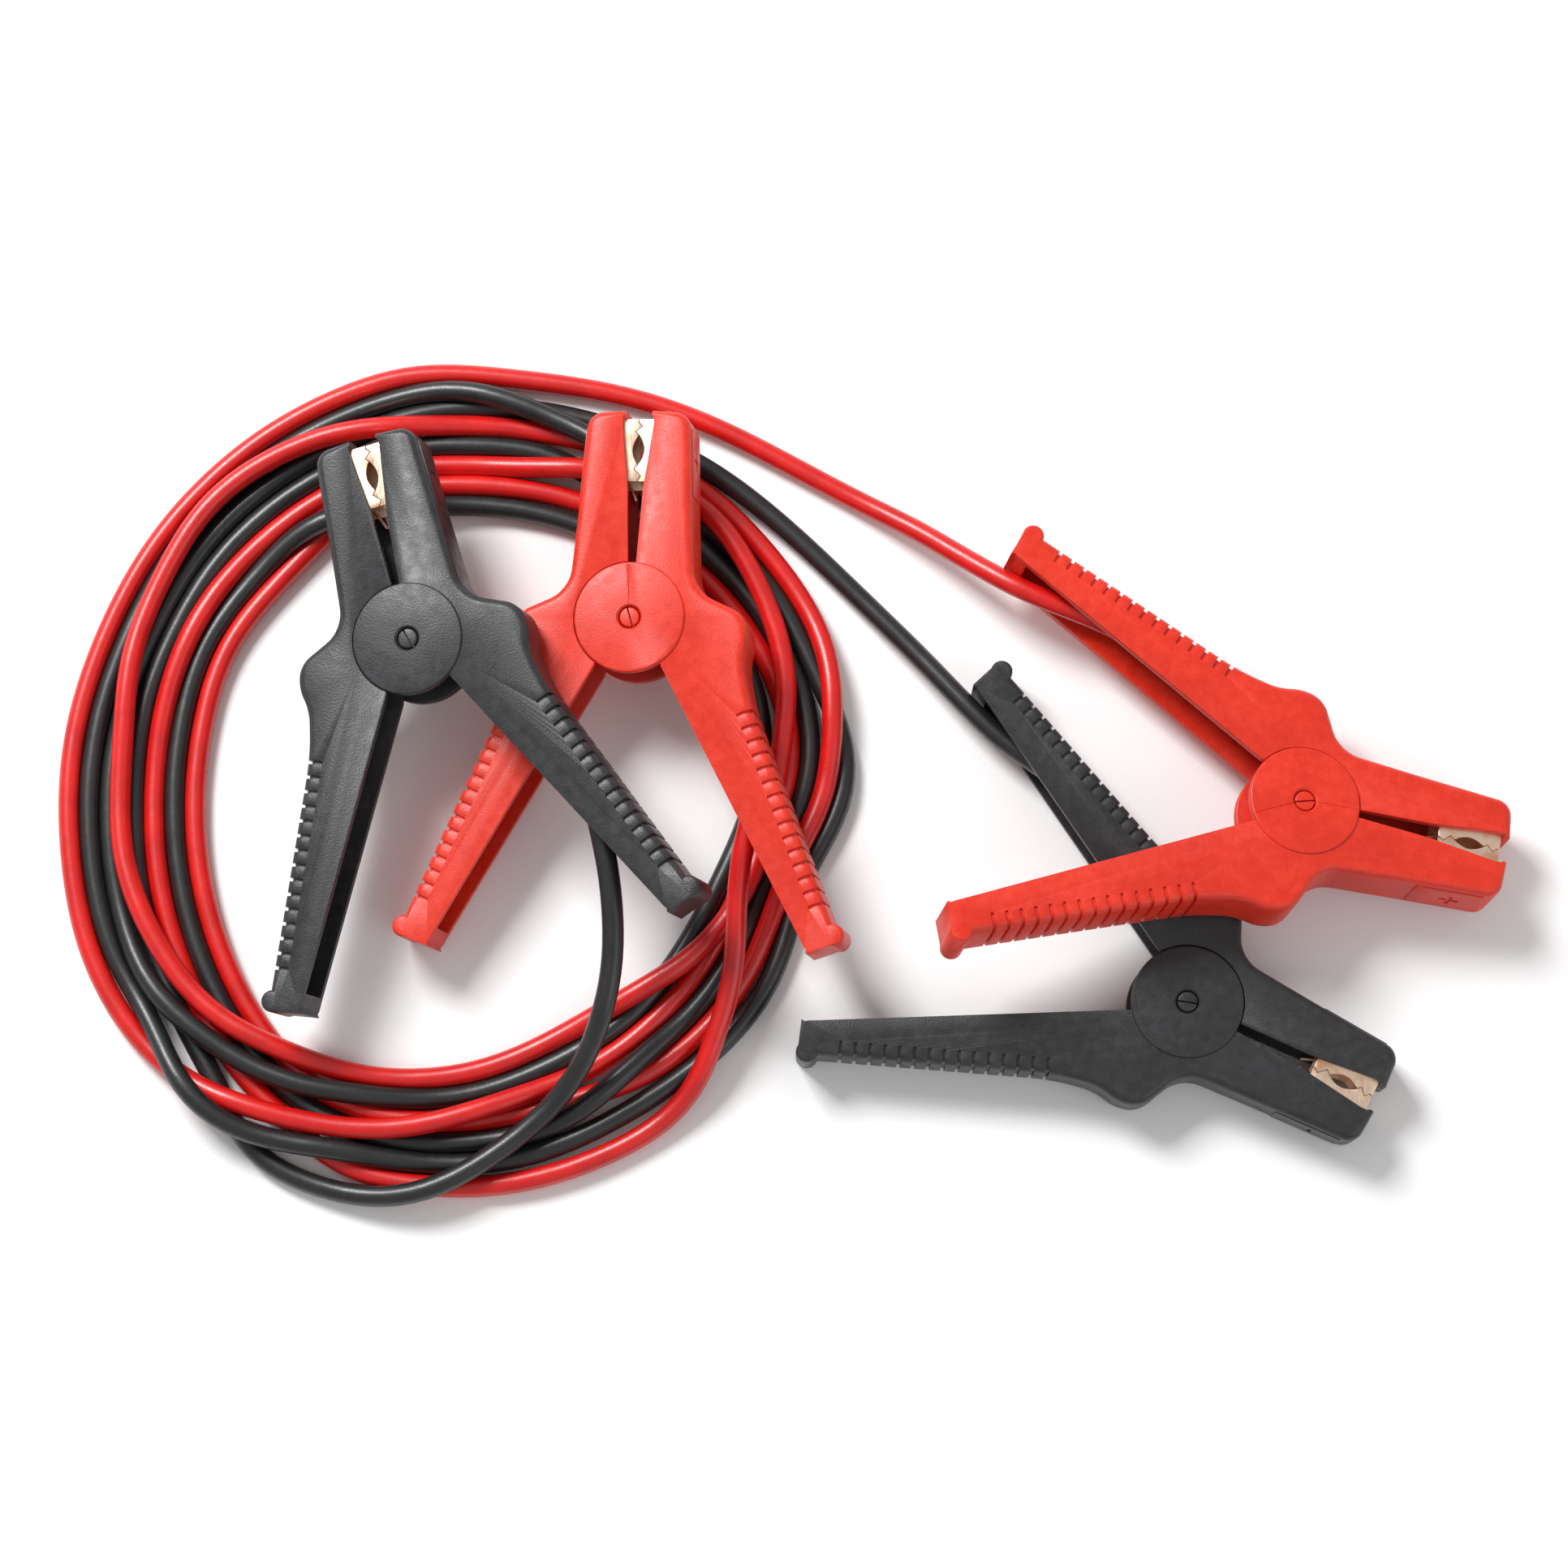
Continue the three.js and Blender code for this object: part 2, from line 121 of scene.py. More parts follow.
# %% Turns of the red lead in the coil
RED_TURNS = [
    (640, 467, 3), (560, 470, 3), (491, 477, 3), (425, 501, 3), (375, 528, 3), (334, 551, 3),
    (292, 581, 3), (226, 646, 3), (176, 715, 3), (136, 782, 3), (108, 845, 3), (95, 900, 3),
    (91, 960, 3), (93, 1040, 3), (104, 1118, 3), (127, 1185, 3), (158, 1244, 3), (195, 1292, 3),
    (228, 1322, 3), (263, 1343, 4), (301, 1362, 7), (353, 1379, 9), (404, 1388, 9),
    (473, 1389, 9), (542, 1381, 9), (600, 1368, 9), (650, 1348, 9), (692, 1325, 9),
    (759, 1285, 9), (825, 1240, 7), (885, 1182, 4), (930, 1115, 3), (965, 1040, 3),
    (986, 965, 3), (982, 900, 3), (962, 840, 3), (930, 785, 3), (895, 735, 3), (855, 696, 3),
    (790, 655, 3), (719, 622, 3), (640, 597, 3), (560, 588, 3), (490, 604, 3), (411, 649, 3),
    (342, 697, 3), (290, 750, 3), (257, 807, 3), (236, 880, 3), (227, 955, 3), (228, 1020, 3),
    (233, 1072, 3), (246, 1134, 3), (266, 1192, 3), (290, 1245, 3), (325, 1295, 3),
    (375, 1335, 3), (440, 1358, 3), (520, 1367, 3), (600, 1368, 3), (680, 1356, 3),
    (776, 1330, 3), (825, 1296, 3), (868, 1250, 3), (935, 1175, 3), (970, 1125, 3),
    (997, 1070, 3), (1012, 1010, 5), (1017, 950, 7), (1021, 890, 8), (1015, 835, 8),
    (990, 770, 8), (941, 705, 6), (892, 655, 5), (845, 615, 4), (795, 582, 4), (740, 553, 4),
    (690, 537, 4), (626, 529, 6), (560, 524, 8), (458, 521, 9), (375, 537, 9), (309, 580, 9),
    (242, 641, 9), (203, 699, 9), (173, 760, 9), (160, 825, 9), (155, 900, 9), (154, 960, 9),
    (156, 1020, 9), (160, 1061, 9), (170, 1110, 9), (190, 1158, 9), (217, 1203, 9),
    (252, 1242, 9), (294, 1277, 9), (340, 1307, 9), (390, 1329, 8), (440, 1339, 8),
    (500, 1341, 8), (560, 1334, 9), (626, 1314, 9), (692, 1288, 9), (759, 1250, 9),
    (825, 1205, 9), (882, 1150, 9), (920, 1100, 9), (945, 1040, 9), (961, 990, 9),
    (968, 940, 9), (972, 885, 9), (969, 835, 9), (952, 765, 9), (912, 692, 9), (866, 640, 9),
    (800, 597, 8), (719, 573, 7), (626, 568, 7), (560, 571, 7), (500, 578, 7), (450, 590, 7),
    (405, 605, 7), (358, 629, 7), (309, 668, 7), (259, 722, 7), (220, 785, 7), (200, 838, 7),
    (192, 900, 7), (190, 960, 7), (191, 1020, 6), (193, 1061, 5), (203, 1116, 4), (220, 1170, 3),
    (245, 1230, 3), (280, 1290, 3), (325, 1345, 3), (375, 1395, 3), (430, 1435, 3),
    (490, 1457, 3), (560, 1464, 3),
]

# %% Turns of the black lead in the coil
BLACK_TURNS = [
    (740, 524, 3), (693, 512, 3), (653, 505, 3), (600, 505, 3), (540, 508, 3), (480, 520, 3),
    (430, 543, 3), (388, 569, 3), (342, 599, 3), (292, 643, 3), (246, 701, 3), (214, 757, 3),
    (190, 821, 3), (172, 880, 3), (152, 925, 3), (139, 970, 4), (132, 1020, 5), (131, 1065, 6),
    (143, 1116, 8), (167, 1168, 9), (198, 1213, 9), (239, 1253, 9), (294, 1294, 9),
    (353, 1325, 9), (404, 1342, 9), (473, 1357, 9), (540, 1361, 7), (600, 1352, 4),
    (650, 1336, 3), (700, 1310, 3), (759, 1270, 3), (810, 1222, 3), (850, 1170, 3),
    (880, 1115, 3), (906, 1055, 3), (925, 1000, 3), (936, 950, 3), (940, 900, 3), (935, 860, 3),
    (918, 805, 3), (890, 762, 3), (850, 722, 3), (800, 689, 3), (760, 669, 3), (716, 650, 5),
    (626, 620, 7), (560, 609, 7), (500, 613, 7), (450, 624, 7), (405, 641, 7), (342, 681, 7),
    (292, 727, 7), (259, 773, 7), (234, 825, 7), (218, 880, 7), (209, 940, 5), (208, 1000, 3),
    (211, 1055, 3), (220, 1113, 3), (242, 1170, 3), (275, 1230, 3), (320, 1290, 3),
    (370, 1340, 3), (420, 1380, 3), (480, 1406, 3), (545, 1413, 3), (610, 1402, 3),
    (660, 1384, 3), (709, 1360, 4), (772, 1322, 4), (825, 1279, 3), (880, 1223, 3),
    (930, 1158, 3), (966, 1095, 3), (990, 1030, 3), (1001, 965, 3), (1000, 900, 3),
    (986, 835, 3), (958, 770, 3), (925, 715, 3), (890, 672, 4), (850, 637, 6), (800, 603, 9),
    (760, 577, 10), (719, 552, 10), (675, 522, 10), (640, 502, 10), (600, 494, 10),
    (560, 492, 9), (500, 494, 8), (450, 502, 6), (400, 520, 4), (345, 553, 3), (290, 600, 3),
    (240, 655, 3), (200, 715, 3), (165, 780, 3), (138, 840, 3), (122, 895, 3), (115, 960, 4),
    (113, 1020, 6), (116, 1061, 7), (124, 1110, 8), (139, 1156, 8), (159, 1205, 8),
    (180, 1246, 8), (208, 1287, 9), (243, 1325, 9), (284, 1364, 8), (335, 1395, 6),
    (387, 1416, 5), (456, 1431, 4), (542, 1434, 4), (610, 1429, 3), (660, 1415, 3),
    (709, 1398, 3), (772, 1370, 3), (819, 1338, 3), (858, 1305, 3), (908, 1256, 3),
    (958, 1189, 3), (985, 1143, 3), (1006, 1090, 3), (1019, 1030, 3), (1022, 970, 3),
    (1016, 905, 3), (1003, 845, 3), (978, 785, 3), (940, 727, 3), (897, 680, 3), (850, 642, 3),
    (800, 610, 3), (750, 583, 3), (700, 563, 3), (640, 551, 4), (560, 549, 4), (500, 553, 4),
    (450, 563, 4), (400, 583, 3), (350, 614, 3), (300, 660, 3), (256, 718, 3), (223, 773, 3),
    (200, 825, 3), (182, 885, 3), (174, 950, 3), (172, 1020, 3), (175, 1090, 3), (186, 1160, 3),
    (204, 1230, 3), (228, 1300, 3), (262, 1357, 3), (303, 1402, 3), (353, 1437, 6),
    (404, 1456, 9), (456, 1466, 10), (508, 1460, 11),
]

# %% [markdown]
# A curve through listed points wobbles, and its strands run through each other. So the
# points are joined by a line in even steps, and the line is smoothed in plan: a cable this thick
# can't bend tighter than about four times its thickness. Then the strands are settled. Wherever
# two of them are closer than one cable thickness, the upper one is lifted and the lower one is
# pressed to the floor, a little at a time, while the cable's own stiffness rounds each hump.

# %% Even steps along a line through the points
STEP = 4 * MM


def even_steps(points, step):
    """Even steps along a curve through the points."""
    padded = [2 * points[0] - points[1], *points, 2 * points[-1] - points[-2]]
    fine = []
    for a, b, c, d in zip(padded, padded[1:], padded[2:], padded[3:]):
        for part in range(12):
            t = part / 12
            bend = (2 * a - 5 * b + 4 * c - d) * t * t + (3 * b - a - 3 * c + d) * t * t * t
            fine.append((2 * b + (c - a) * t + bend) / 2)
    fine.append(points[-1])
    fine = np.array([list(point) for point in fine])
    travelled = np.concatenate([[0], np.cumsum(np.linalg.norm(np.diff(fine, axis=0), axis=1))])
    stations = np.linspace(0, travelled[-1], int(travelled[-1] / step) + 1)
    return np.stack([np.interp(stations, travelled, fine[:, axis]) for axis in range(3)], axis=1)


# %% Smooth the line in plan
PLAN_ROUNDS = 30
HELD_STEPS = 7
FREED_STEPS = 18


def spread(values, rounds):
    """Blurs values along the line, with both ends held."""
    values = values.copy()
    for count in range(rounds):
        values[1:-1] += 0.25 * (values[:-2] + values[2:] - 2 * values[1:-1])
    return values


def smoothed(line):
    """The line without its wobble. What the first blur shrinks, the second one gives back."""
    flat = line[:, :2]
    blurred = spread(flat, PLAN_ROUNDS)
    blurred += spread(flat - blurred, PLAN_ROUNDS)
    from_end = np.minimum(np.arange(len(line)), np.arange(len(line))[::-1])
    share = np.clip((from_end - HELD_STEPS) / (FREED_STEPS - HELD_STEPS), 0, 1)[:, None]
    line = line.copy()
    line[:, :2] = flat * (1 - share) + blurred * share
    return line


def whole_route(to_right_clamp, turns, to_left_clamp):
    """One lead from its right clamp through the coil to its left clamp."""
    points = [Vector(point) for point in to_right_clamp]
    points += [seen_at(column, row, height) for column, row, height in turns]
    points += [Vector(point) for point in reversed(to_left_clamp)]
    return smoothed(even_steps(points, STEP))


red_line = whole_route(RED_TO_RIGHT_CLAMP, RED_TURNS, RED_TO_LEFT_CLAMP)
black_line = whole_route(BLACK_TO_RIGHT_CLAMP, BLACK_TURNS, BLACK_TO_LEFT_CLAMP)

# %% Settle the strands on each other
SETTLE_ROUNDS = 420
SETTLE_FALL = 0.03 * MM
FREE_ENDS = 22
LOWEST = CABLE / 2 + 0.05 * MM
SAME_STRETCH = 10
TOUCHING = 1.25 * CABLE
STIFFNESS = 0.055
STIFF_ROUNDS = 4
PAIRS_FOR = 6
SINKING_SHARE = 0.75
HEIGHT_BLUR = 8
HANDLE_PIN = np.array([89.14, -69.2]) * MM
HANDLE_REACH = 122.0 * MM
SWEEP_FROM = -6
SWEEP_TO = 21
REACH_FALL = 0.7 * MM
LAST_ANGLE = 45
PUSH_SHARE = 0.4


def close_pairs(points, strand):
    """Pairs of steps that touch and aren't neighbours along one lead."""
    place = np.arange(len(points))
    gaps = points[:, None, :] - points[None, :, :]
    apart = np.sqrt((gaps**2).sum(axis=2))
    neighbours = (strand[:, None] == strand[None, :]) & (abs(place[:, None] - place) < SAME_STRETCH)
    return np.argwhere((apart < TOUCHING) & ~neighbours & (place[:, None] < place))


def pushed_apart(points, pairs):
    """Moves both steps of each touching pair apart by a share of what is missing."""
    one, other = pairs[:, 0], pairs[:, 1]
    gap = points[one] - points[other]
    apart = np.linalg.norm(gap, axis=1, keepdims=True)
    push = np.clip(CABLE - apart, 0, None) / 2 * gap / np.maximum(apart, 1e-6)
    moved, count = np.zeros_like(points), np.full((len(points), 1), 1e-6)
    for steps, sign in ((one, 1), (other, -1)):
        np.add.at(moved, steps, sign * push)
        np.add.at(count, steps, (apart < CABLE) * 1.0)
    return points + moved / np.maximum(count, 1)


def stiffened(line):
    """One round of the cable's stiffness, which evens out its bends."""
    slope = line[:-2] + line[2:] - 2 * line[1:-1]
    line[2:-2] -= STIFFNESS * (slope[:-2] + slope[2:] - 2 * slope[1:-1])
    return line


def clear_of_handle(points):
    """Leaves room for the right black clamp's free handle, which swings in beside the coil.

    The handle sweeps a sector round its pin, in degrees above straight left. On both sides of
    it the room narrows by 0.7 mm for each degree.
    """
    away = points[:, :2] - HANDLE_PIN
    distance = np.linalg.norm(away, axis=1)
    angle = np.degrees(np.arctan2(away[:, 1], -away[:, 0]))
    beside = np.maximum(angle - SWEEP_TO, SWEEP_FROM - angle)
    missing = HANDLE_REACH - REACH_FALL * np.maximum(beside, 0) - distance
    missing[angle > LAST_ANGLE] = 0
    points[:, :2] += away * (PUSH_SHARE * np.maximum(missing, 0) / distance)[:, None]
    return points


def settle(lines):
    """Lets the strands sink and pushes them apart until none lies in another."""
    points = np.concatenate(lines)
    first = np.cumsum([0] + [len(line) for line in lines])
    strand = np.concatenate([np.full(len(line), index) for index, line in enumerate(lines)])
    held = np.zeros(len(points), bool)
    for start, stop in zip(first, first[1:]):
        points[start:stop, 2:] = spread(points[start:stop, 2:], HEIGHT_BLUR)
        held[start : start + FREE_ENDS] = True
        held[stop - FREE_ENDS : stop] = True
    fixed = np.concatenate(lines)[held]
    for count in range(SETTLE_ROUNDS):
        if count % PAIRS_FOR == 0:
            pairs = close_pairs(points, strand)
        if count < SETTLE_ROUNDS * SINKING_SHARE:
            points[:, 2] -= SETTLE_FALL
        for start, stop in zip(first, first[1:]):
            for _ in range(STIFF_ROUNDS):
                points[start:stop] = stiffened(points[start:stop])
        points = clear_of_handle(pushed_apart(points, pairs))
        points[:, 2] = np.maximum(points[:, 2], LOWEST)
        points[held] = fixed
    gap = points[pairs[:, 0]] - points[pairs[:, 1]]
    left = CABLE - np.linalg.norm(gap, axis=1)
    print("strands lie in each other by at most", round(float(left.max()) / MM, 2), "mm")
    return [points[start:stop] for start, stop in zip(first, first[1:])]


red_line, black_line = settle([red_line, black_line])

# %% Make the leads


def length_of(line):
    """The length of a row of points."""
    return float(np.linalg.norm(np.diff(line, axis=0), axis=1).sum())


def tube(name, points, radius, resolution):
    """A round tube: a curve with a round bevel, turned into a mesh."""
    curve = bpy.data.curves.new(name, "CURVE")
    curve.dimensions = "3D"
    curve.bevel_depth = radius
    curve.bevel_resolution = resolution
    curve.use_fill_caps = True
    spline = curve.splines.new("POLY")
    spline.points.add(len(points) - 1)
    for point, (x, y, z) in zip(spline.points, points):
        point.co = (x, y, z, 1.0)
    spline.use_smooth = True
    drawn = bpy.data.objects.new("drawn", curve)
    bpy.context.scene.collection.objects.link(drawn)
    bpy.context.view_layer.update()
    data = bpy.data.meshes.new_from_object(drawn.evaluated_get(bpy.context.evaluated_depsgraph_get()))
    bpy.data.objects.remove(drawn)
    piece = bpy.data.objects.new(name, data)
    bpy.context.scene.collection.objects.link(piece)
    return piece


def lead(name, line):
    """A lead along the line, whose length and tightest bend are measured."""
    before, after = line[1:-1] - line[:-2], line[2:] - line[1:-1]
    lengths = np.linalg.norm(before, axis=1) * np.linalg.norm(after, axis=1)
    turn = np.arccos(np.clip((before * after).sum(axis=1) / lengths, -1, 1))
    tightest = STEP / float(turn.max())
    print(name, "is", round(length_of(line), 3), "m long, tightest bend", round(tightest / MM), "mm")
    return tube(name, line, CABLE / 2, 6)


red_lead = lead("red_lead", red_line)
black_lead = lead("black_lead", black_line)
for piece, line, stretches in (
    (red_lead, red_line, ("lead_red_to_right_clamp", "lead_red_to_left_clamp")),
    (black_lead, black_line, ("lead_black_to_right_clamp", "lead_black_to_left_clamp")),
):
    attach(piece, "coil_and_cable_levers")
    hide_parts("coil_of_both_leads", *stretches)

# %% [markdown]
# The finishes come next. Colours are picked as sRGB hex values, as on a colour picker, and one
# function turns them into the linear values that the shaders need. One small function adds a
# node, gives it its settings and links it. Each pattern gets its scale from a real size.

# %% Colours and nodes


def linear(picked):
    """The linear values of an sRGB hex colour."""
    parts = [int(picked[place : place + 2], 16) / 255 for place in (1, 3, 5)]
    return (*[v / 12.92 if v <= 0.04045 else ((v + 0.055) / 1.055) ** 2.4 for v in parts], 1.0)


def add(tree, kind, sockets, **settings):
    """Adds a node: sockets holds its values and links, settings its choices."""
    node = tree.nodes.new("ShaderNode" + kind)
    for name, value in settings.items():
        setattr(node, name, value)
    for name, value in sockets.items():
        if isinstance(value, bpy.types.NodeSocket):
            tree.links.new(value, node.inputs[name])
        else:
            node.inputs[name].default_value = value
    return node


def new_material(name):
    """A material with an empty tree, and where the pattern is on the piece."""
    material = bpy.data.materials.new(name)
    material.use_nodes = True
    tree = material.node_tree
    tree.nodes.clear()
    return material, tree, add(tree, "TexCoord", {}).outputs["Object"]


def per_size(millimetres):
    """The scale of a pattern whose features are this large."""
    return 1 / (millimetres * MM)


# %% [markdown]
# The levers are injection-moulded polypropylene, the usual tough plastic for such grips. The
# mould was spark-eroded, which leaves a fine satin grain of about half a millimetre, and the
# plastic's flow leaves soft cloudy patches some millimetres wide. A touch of subsurface keeps
# the red from looking painted.

# %% Moulded plastic
GRAIN = 0.55
CLOUD = 3.2
FLOW = 16


def moulded_plastic(name, low, middle, high, grain_depth, roughness, subsurface):
    """Satin moulded polypropylene with mould grain and flow clouds."""
    material, tree, place = new_material(name)
    grain = add(tree, "TexNoise", {"Vector": place, "Scale": per_size(GRAIN), "Detail": 3.0})
    cloud = add(tree, "TexNoise", {"Vector": place, "Scale": per_size(CLOUD), "Detail": 4.0})
    flow = add(tree, "TexNoise", {"Vector": place, "Scale": per_size(FLOW), "Detail": 2.0})
    speck = add(
        tree, "Math", {0: grain.outputs["Fac"], 1: cloud.outputs["Fac"]}, operation="ADD"
    )
    mixed = add(tree, "Math", {0: speck.outputs[0], 1: flow.outputs["Fac"]}, operation="ADD")
    ramp = add(tree, "ValToRGB", {"Fac": add(
        tree, "MapRange", {"Value": mixed.outputs[0], "From Min": 1.15, "From Max": 1.85}
    ).outputs["Result"]})
    ramp.color_ramp.elements[0].color = linear(low)
    ramp.color_ramp.elements[1].color = linear(high)
    ramp.color_ramp.elements.new(0.5).color = linear(middle)
    rough = add(tree, "MapRange", {
        "Value": cloud.outputs["Fac"],
        "From Min": 0.3,
        "From Max": 0.7,
        "To Min": roughness - 0.06,
        "To Max": roughness + 0.08,
    })
    bump = add(tree, "Bump", {
        "Height": grain.outputs["Fac"],
        "Strength": 0.7,
        "Distance": grain_depth * MM,
    })
    shader = add(tree, "BsdfPrincipled", {
        "Base Color": ramp.outputs["Color"],
        "Roughness": rough.outputs["Result"],
        "Normal": bump.outputs["Normal"],
        "IOR": 1.49,
        "Subsurface Weight": subsurface,
        "Subsurface Radius": (2.0 * MM, 0.5 * MM, 0.4 * MM),
        "Subsurface Scale": 1.0,
    })
    add(tree, "OutputMaterial", {"Surface": shader.outputs["BSDF"]})
    return material


red_plastic = moulded_plastic(
    "red_moulded_polypropylene", "#CE2812", "#D92D16", "#E2361F", 0.09, 0.42, 0.05
)
black_plastic = moulded_plastic(
    "black_moulded_polypropylene", "#242426", "#29292B", "#333336", 0.12, 0.4, 0.0
)

# %% [markdown]
# The cable's cover is soft extruded PVC. Extrusion leaves it smooth and fairly glossy, so the
# light runs along it in long streaks. Only slow unevenness, some millimetres long, and a little
# handling dust break the streaks up.

# %% Extruded PVC


def extruded_pvc(name, low, high, roughness, coat):
    """Glossy flexible PVC with slow unevenness and faint dust."""
    material, tree, place = new_material(name)
    slow = add(tree, "TexNoise", {"Vector": place, "Scale": per_size(11), "Detail": 2.0})
    dust = add(tree, "TexNoise", {"Vector": place, "Scale": per_size(0.8), "Detail": 4.0})
    ramp = add(tree, "ValToRGB", {"Fac": slow.outputs["Fac"]})
    ramp.color_ramp.elements[0].position = 0.3
    ramp.color_ramp.elements[0].color = linear(low)
    ramp.color_ramp.elements[1].position = 0.7
    ramp.color_ramp.elements[1].color = linear(high)
    rough = add(tree, "MapRange", {
        "Value": dust.outputs["Fac"],
        "From Min": 0.35,
        "From Max": 0.7,
        "To Min": roughness,
        "To Max": roughness + 0.14,
    })
    bump = add(tree, "Bump", {
        "Height": slow.outputs["Fac"],
        "Strength": 0.5,
        "Distance": 0.5 * MM,
    })
    fine = add(tree, "Bump", {
        "Height": dust.outputs["Fac"],
        "Strength": 0.25,
        "Distance": 0.06 * MM,
        "Normal": bump.outputs["Normal"],
    })
    shader = add(tree, "BsdfPrincipled", {
        "Base Color": ramp.outputs["Color"],
        "Roughness": rough.outputs["Result"],
        "Normal": fine.outputs["Normal"],
        "IOR": 1.53,
        "Coat Weight": coat,
        "Coat Roughness": 0.22,
    })
    add(tree, "OutputMaterial", {"Surface": shader.outputs["BSDF"]})
    return material


red_pvc = extruded_pvc("red_extruded_pvc", "#C30806", "#D8120D", 0.33, 0.25)
black_pvc = extruded_pvc("black_extruded_pvc", "#151617", "#1F2021", 0.36, 0.2)
red_lead.data.materials.append(red_pvc)
black_lead.data.materials.append(black_pvc)

# %% [markdown]
# Three metal finishes: the contacts are copper-plated sheet, pale and softly brushed where the
# press tool slid over it, with browner cloudy patches. The springs and crimps are zinc-plated
# steel, whose crystals show as faint cloudy patches. The conductor is bare copper wire.

# %% Metals


def sheet_metal(name, dark, light, patch, scratch, roughness):
    """Plated metal with cloudy patches and fine scratches along one way."""
    material, tree, place = new_material(name)
    clouds = add(tree, "TexNoise", {"Vector": place, "Scale": per_size(patch), "Detail": 3.0})
    drawn = add(tree, "Mapping", {"Vector": place, "Scale": (1.0, 0.12, 1.0)})
    lines = add(tree, "TexNoise", {
        "Vector": drawn.outputs["Vector"],
        "Scale": per_size(scratch),
        "Detail": 3.0,
    })
    ramp = add(tree, "ValToRGB", {"Fac": clouds.outputs["Fac"]})
    ramp.color_ramp.elements[0].position = 0.34
    ramp.color_ramp.elements[0].color = linear(dark)
    ramp.color_ramp.elements[1].position = 0.5
    ramp.color_ramp.elements[1].color = linear(light)
    rough = add(tree, "MapRange", {
        "Value": lines.outputs["Fac"],
        "From Min": 0.3,
        "From Max": 0.7,
        "To Min": roughness - 0.08,
        "To Max": roughness + 0.1,
    })
    bump = add(tree, "Bump", {
        "Height": lines.outputs["Fac"],
        "Strength": 0.35,
        "Distance": 0.03 * MM,
    })
    shader = add(tree, "BsdfPrincipled", {
        "Base Color": ramp.outputs["Color"],
        "Metallic": 1.0,
        "Roughness": rough.outputs["Result"],
        "Normal": bump.outputs["Normal"],
    })
    add(tree, "OutputMaterial", {"Surface": shader.outputs["BSDF"]})
    return material


copper = sheet_metal("copper_plated_contact", "#F0BE98", "#FFE0C6", 5.0, 0.4, 0.36)
bare_copper = sheet_metal("bare_copper_wire", "#A85C38", "#D08458", 2.0, 0.3, 0.34)
zinc = sheet_metal("zinc_plated_steel", "#9DA1A4", "#C6C9CB", 1.5, 0.5, 0.36)

# %% [markdown]
# Every clamp is the same moulding, so it is modelled once in its own frame: the pivot pin on Z,
# the jaws along +Y and the handles towards -Y. Then it is placed four times. The second lever of
# a clamp is the first one turned half a turn about Y. These are the clamps' places.

# %% Where the clamps lie
CLAMPS = {
    "black_left": {
        "at": (-142.76, 37.3, 34.9),
        "bearing": 103.6,
        "slopes": (0.2, 0.03),
        "cable_side": 1,
        "crimp_along": 6,
    },
    "red_left": {
        "at": (-77.36, 46, 24.4),
        "bearing": 87.8,
        "slopes": (0.15, 0.02),
        "cable_side": 1,
        "crimp_along": 6,
    },
    "red_right": {
        "at": (122.84, -11.6, 21.6),
        "bearing": -12.3,
        "slopes": (-0.16, -0.19),
        "cable_side": -1,
        "crimp_along": 16,
    },
    "black_right": {
        "at": (89.14, -69.2, 10),
        "bearing": -27.1,
        "slopes": (0, 0),
        "cable_side": -1,
        "crimp_along": 16,
    },
}


def clamp_place(clamp):
    """The turn and place of a clamp, from millimetres in its own frame to metres in the set's."""
    slope_x, slope_y = clamp["slopes"]
    bearing = math.radians(clamp["bearing"])
    normal = Vector((-slope_x, -slope_y, 1.0)).normalized()
    rise = slope_x * math.cos(bearing) + slope_y * math.sin(bearing)
    jaws = Vector((math.cos(bearing), math.sin(bearing), rise)).normalized()
    across = jaws.cross(normal)
    turn = Matrix((across, jaws, normal)).transposed().to_4x4()
    return Matrix.Scale(MM, 4) @ Matrix.Translation(clamp["at"]) @ turn


PLACES = {name: clamp_place(clamp) for name, clamp in CLAMPS.items()}
HALF_TURN = Matrix.Rotation(math.pi, 4, "Y")
print(len(PLACES), "clamps placed")

# %% [markdown]
# Helpers for solid pieces. A prism is a flat outline pulled up to a thickness, whose upright
# corners can then be rounded one by one. Solids are joined and cut with the Boolean modifier,
# which is then applied, as one would in the editor.

# %% Prisms, plain rounds and booleans


def prism(outline, low, high, corners=()):
    """A flat outline pulled up from low to high. corners are the radii of its upright edges."""
    shape = bmesh.new()
    ring = [shape.verts.new((x, y, low)) for x, y in outline]
    face = shape.faces.new(ring)
    pulled = bmesh.ops.extrude_face_region(shape, geom=[face])["geom"]
    upper = [item for item in pulled if isinstance(item, bmesh.types.BMVert)]
    bmesh.ops.translate(shape, vec=(0, 0, high - low), verts=upper)
    uprights = [
        next(edge for edge in vertex.link_edges if abs(edge.verts[0].co.z - edge.verts[1].co.z) > 0.1)
        for vertex in ring[: len(corners)]
    ]
    for edge, radius in zip(uprights, corners):
        if radius:
            round_edges(shape, [edge], radius, 6)
    bmesh.ops.recalc_face_normals(shape, faces=shape.faces)
    return shape


def round_edges(shape, edges, size, segments):
    """Rounds these edges."""
    bmesh.ops.bevel(
        shape,
        geom=edges,
        offset=size,
        offset_type="OFFSET",
        affect="EDGES",
        segments=segments,
        profile=0.5,
        material=-1,
        clamp_overlap=False,
    )


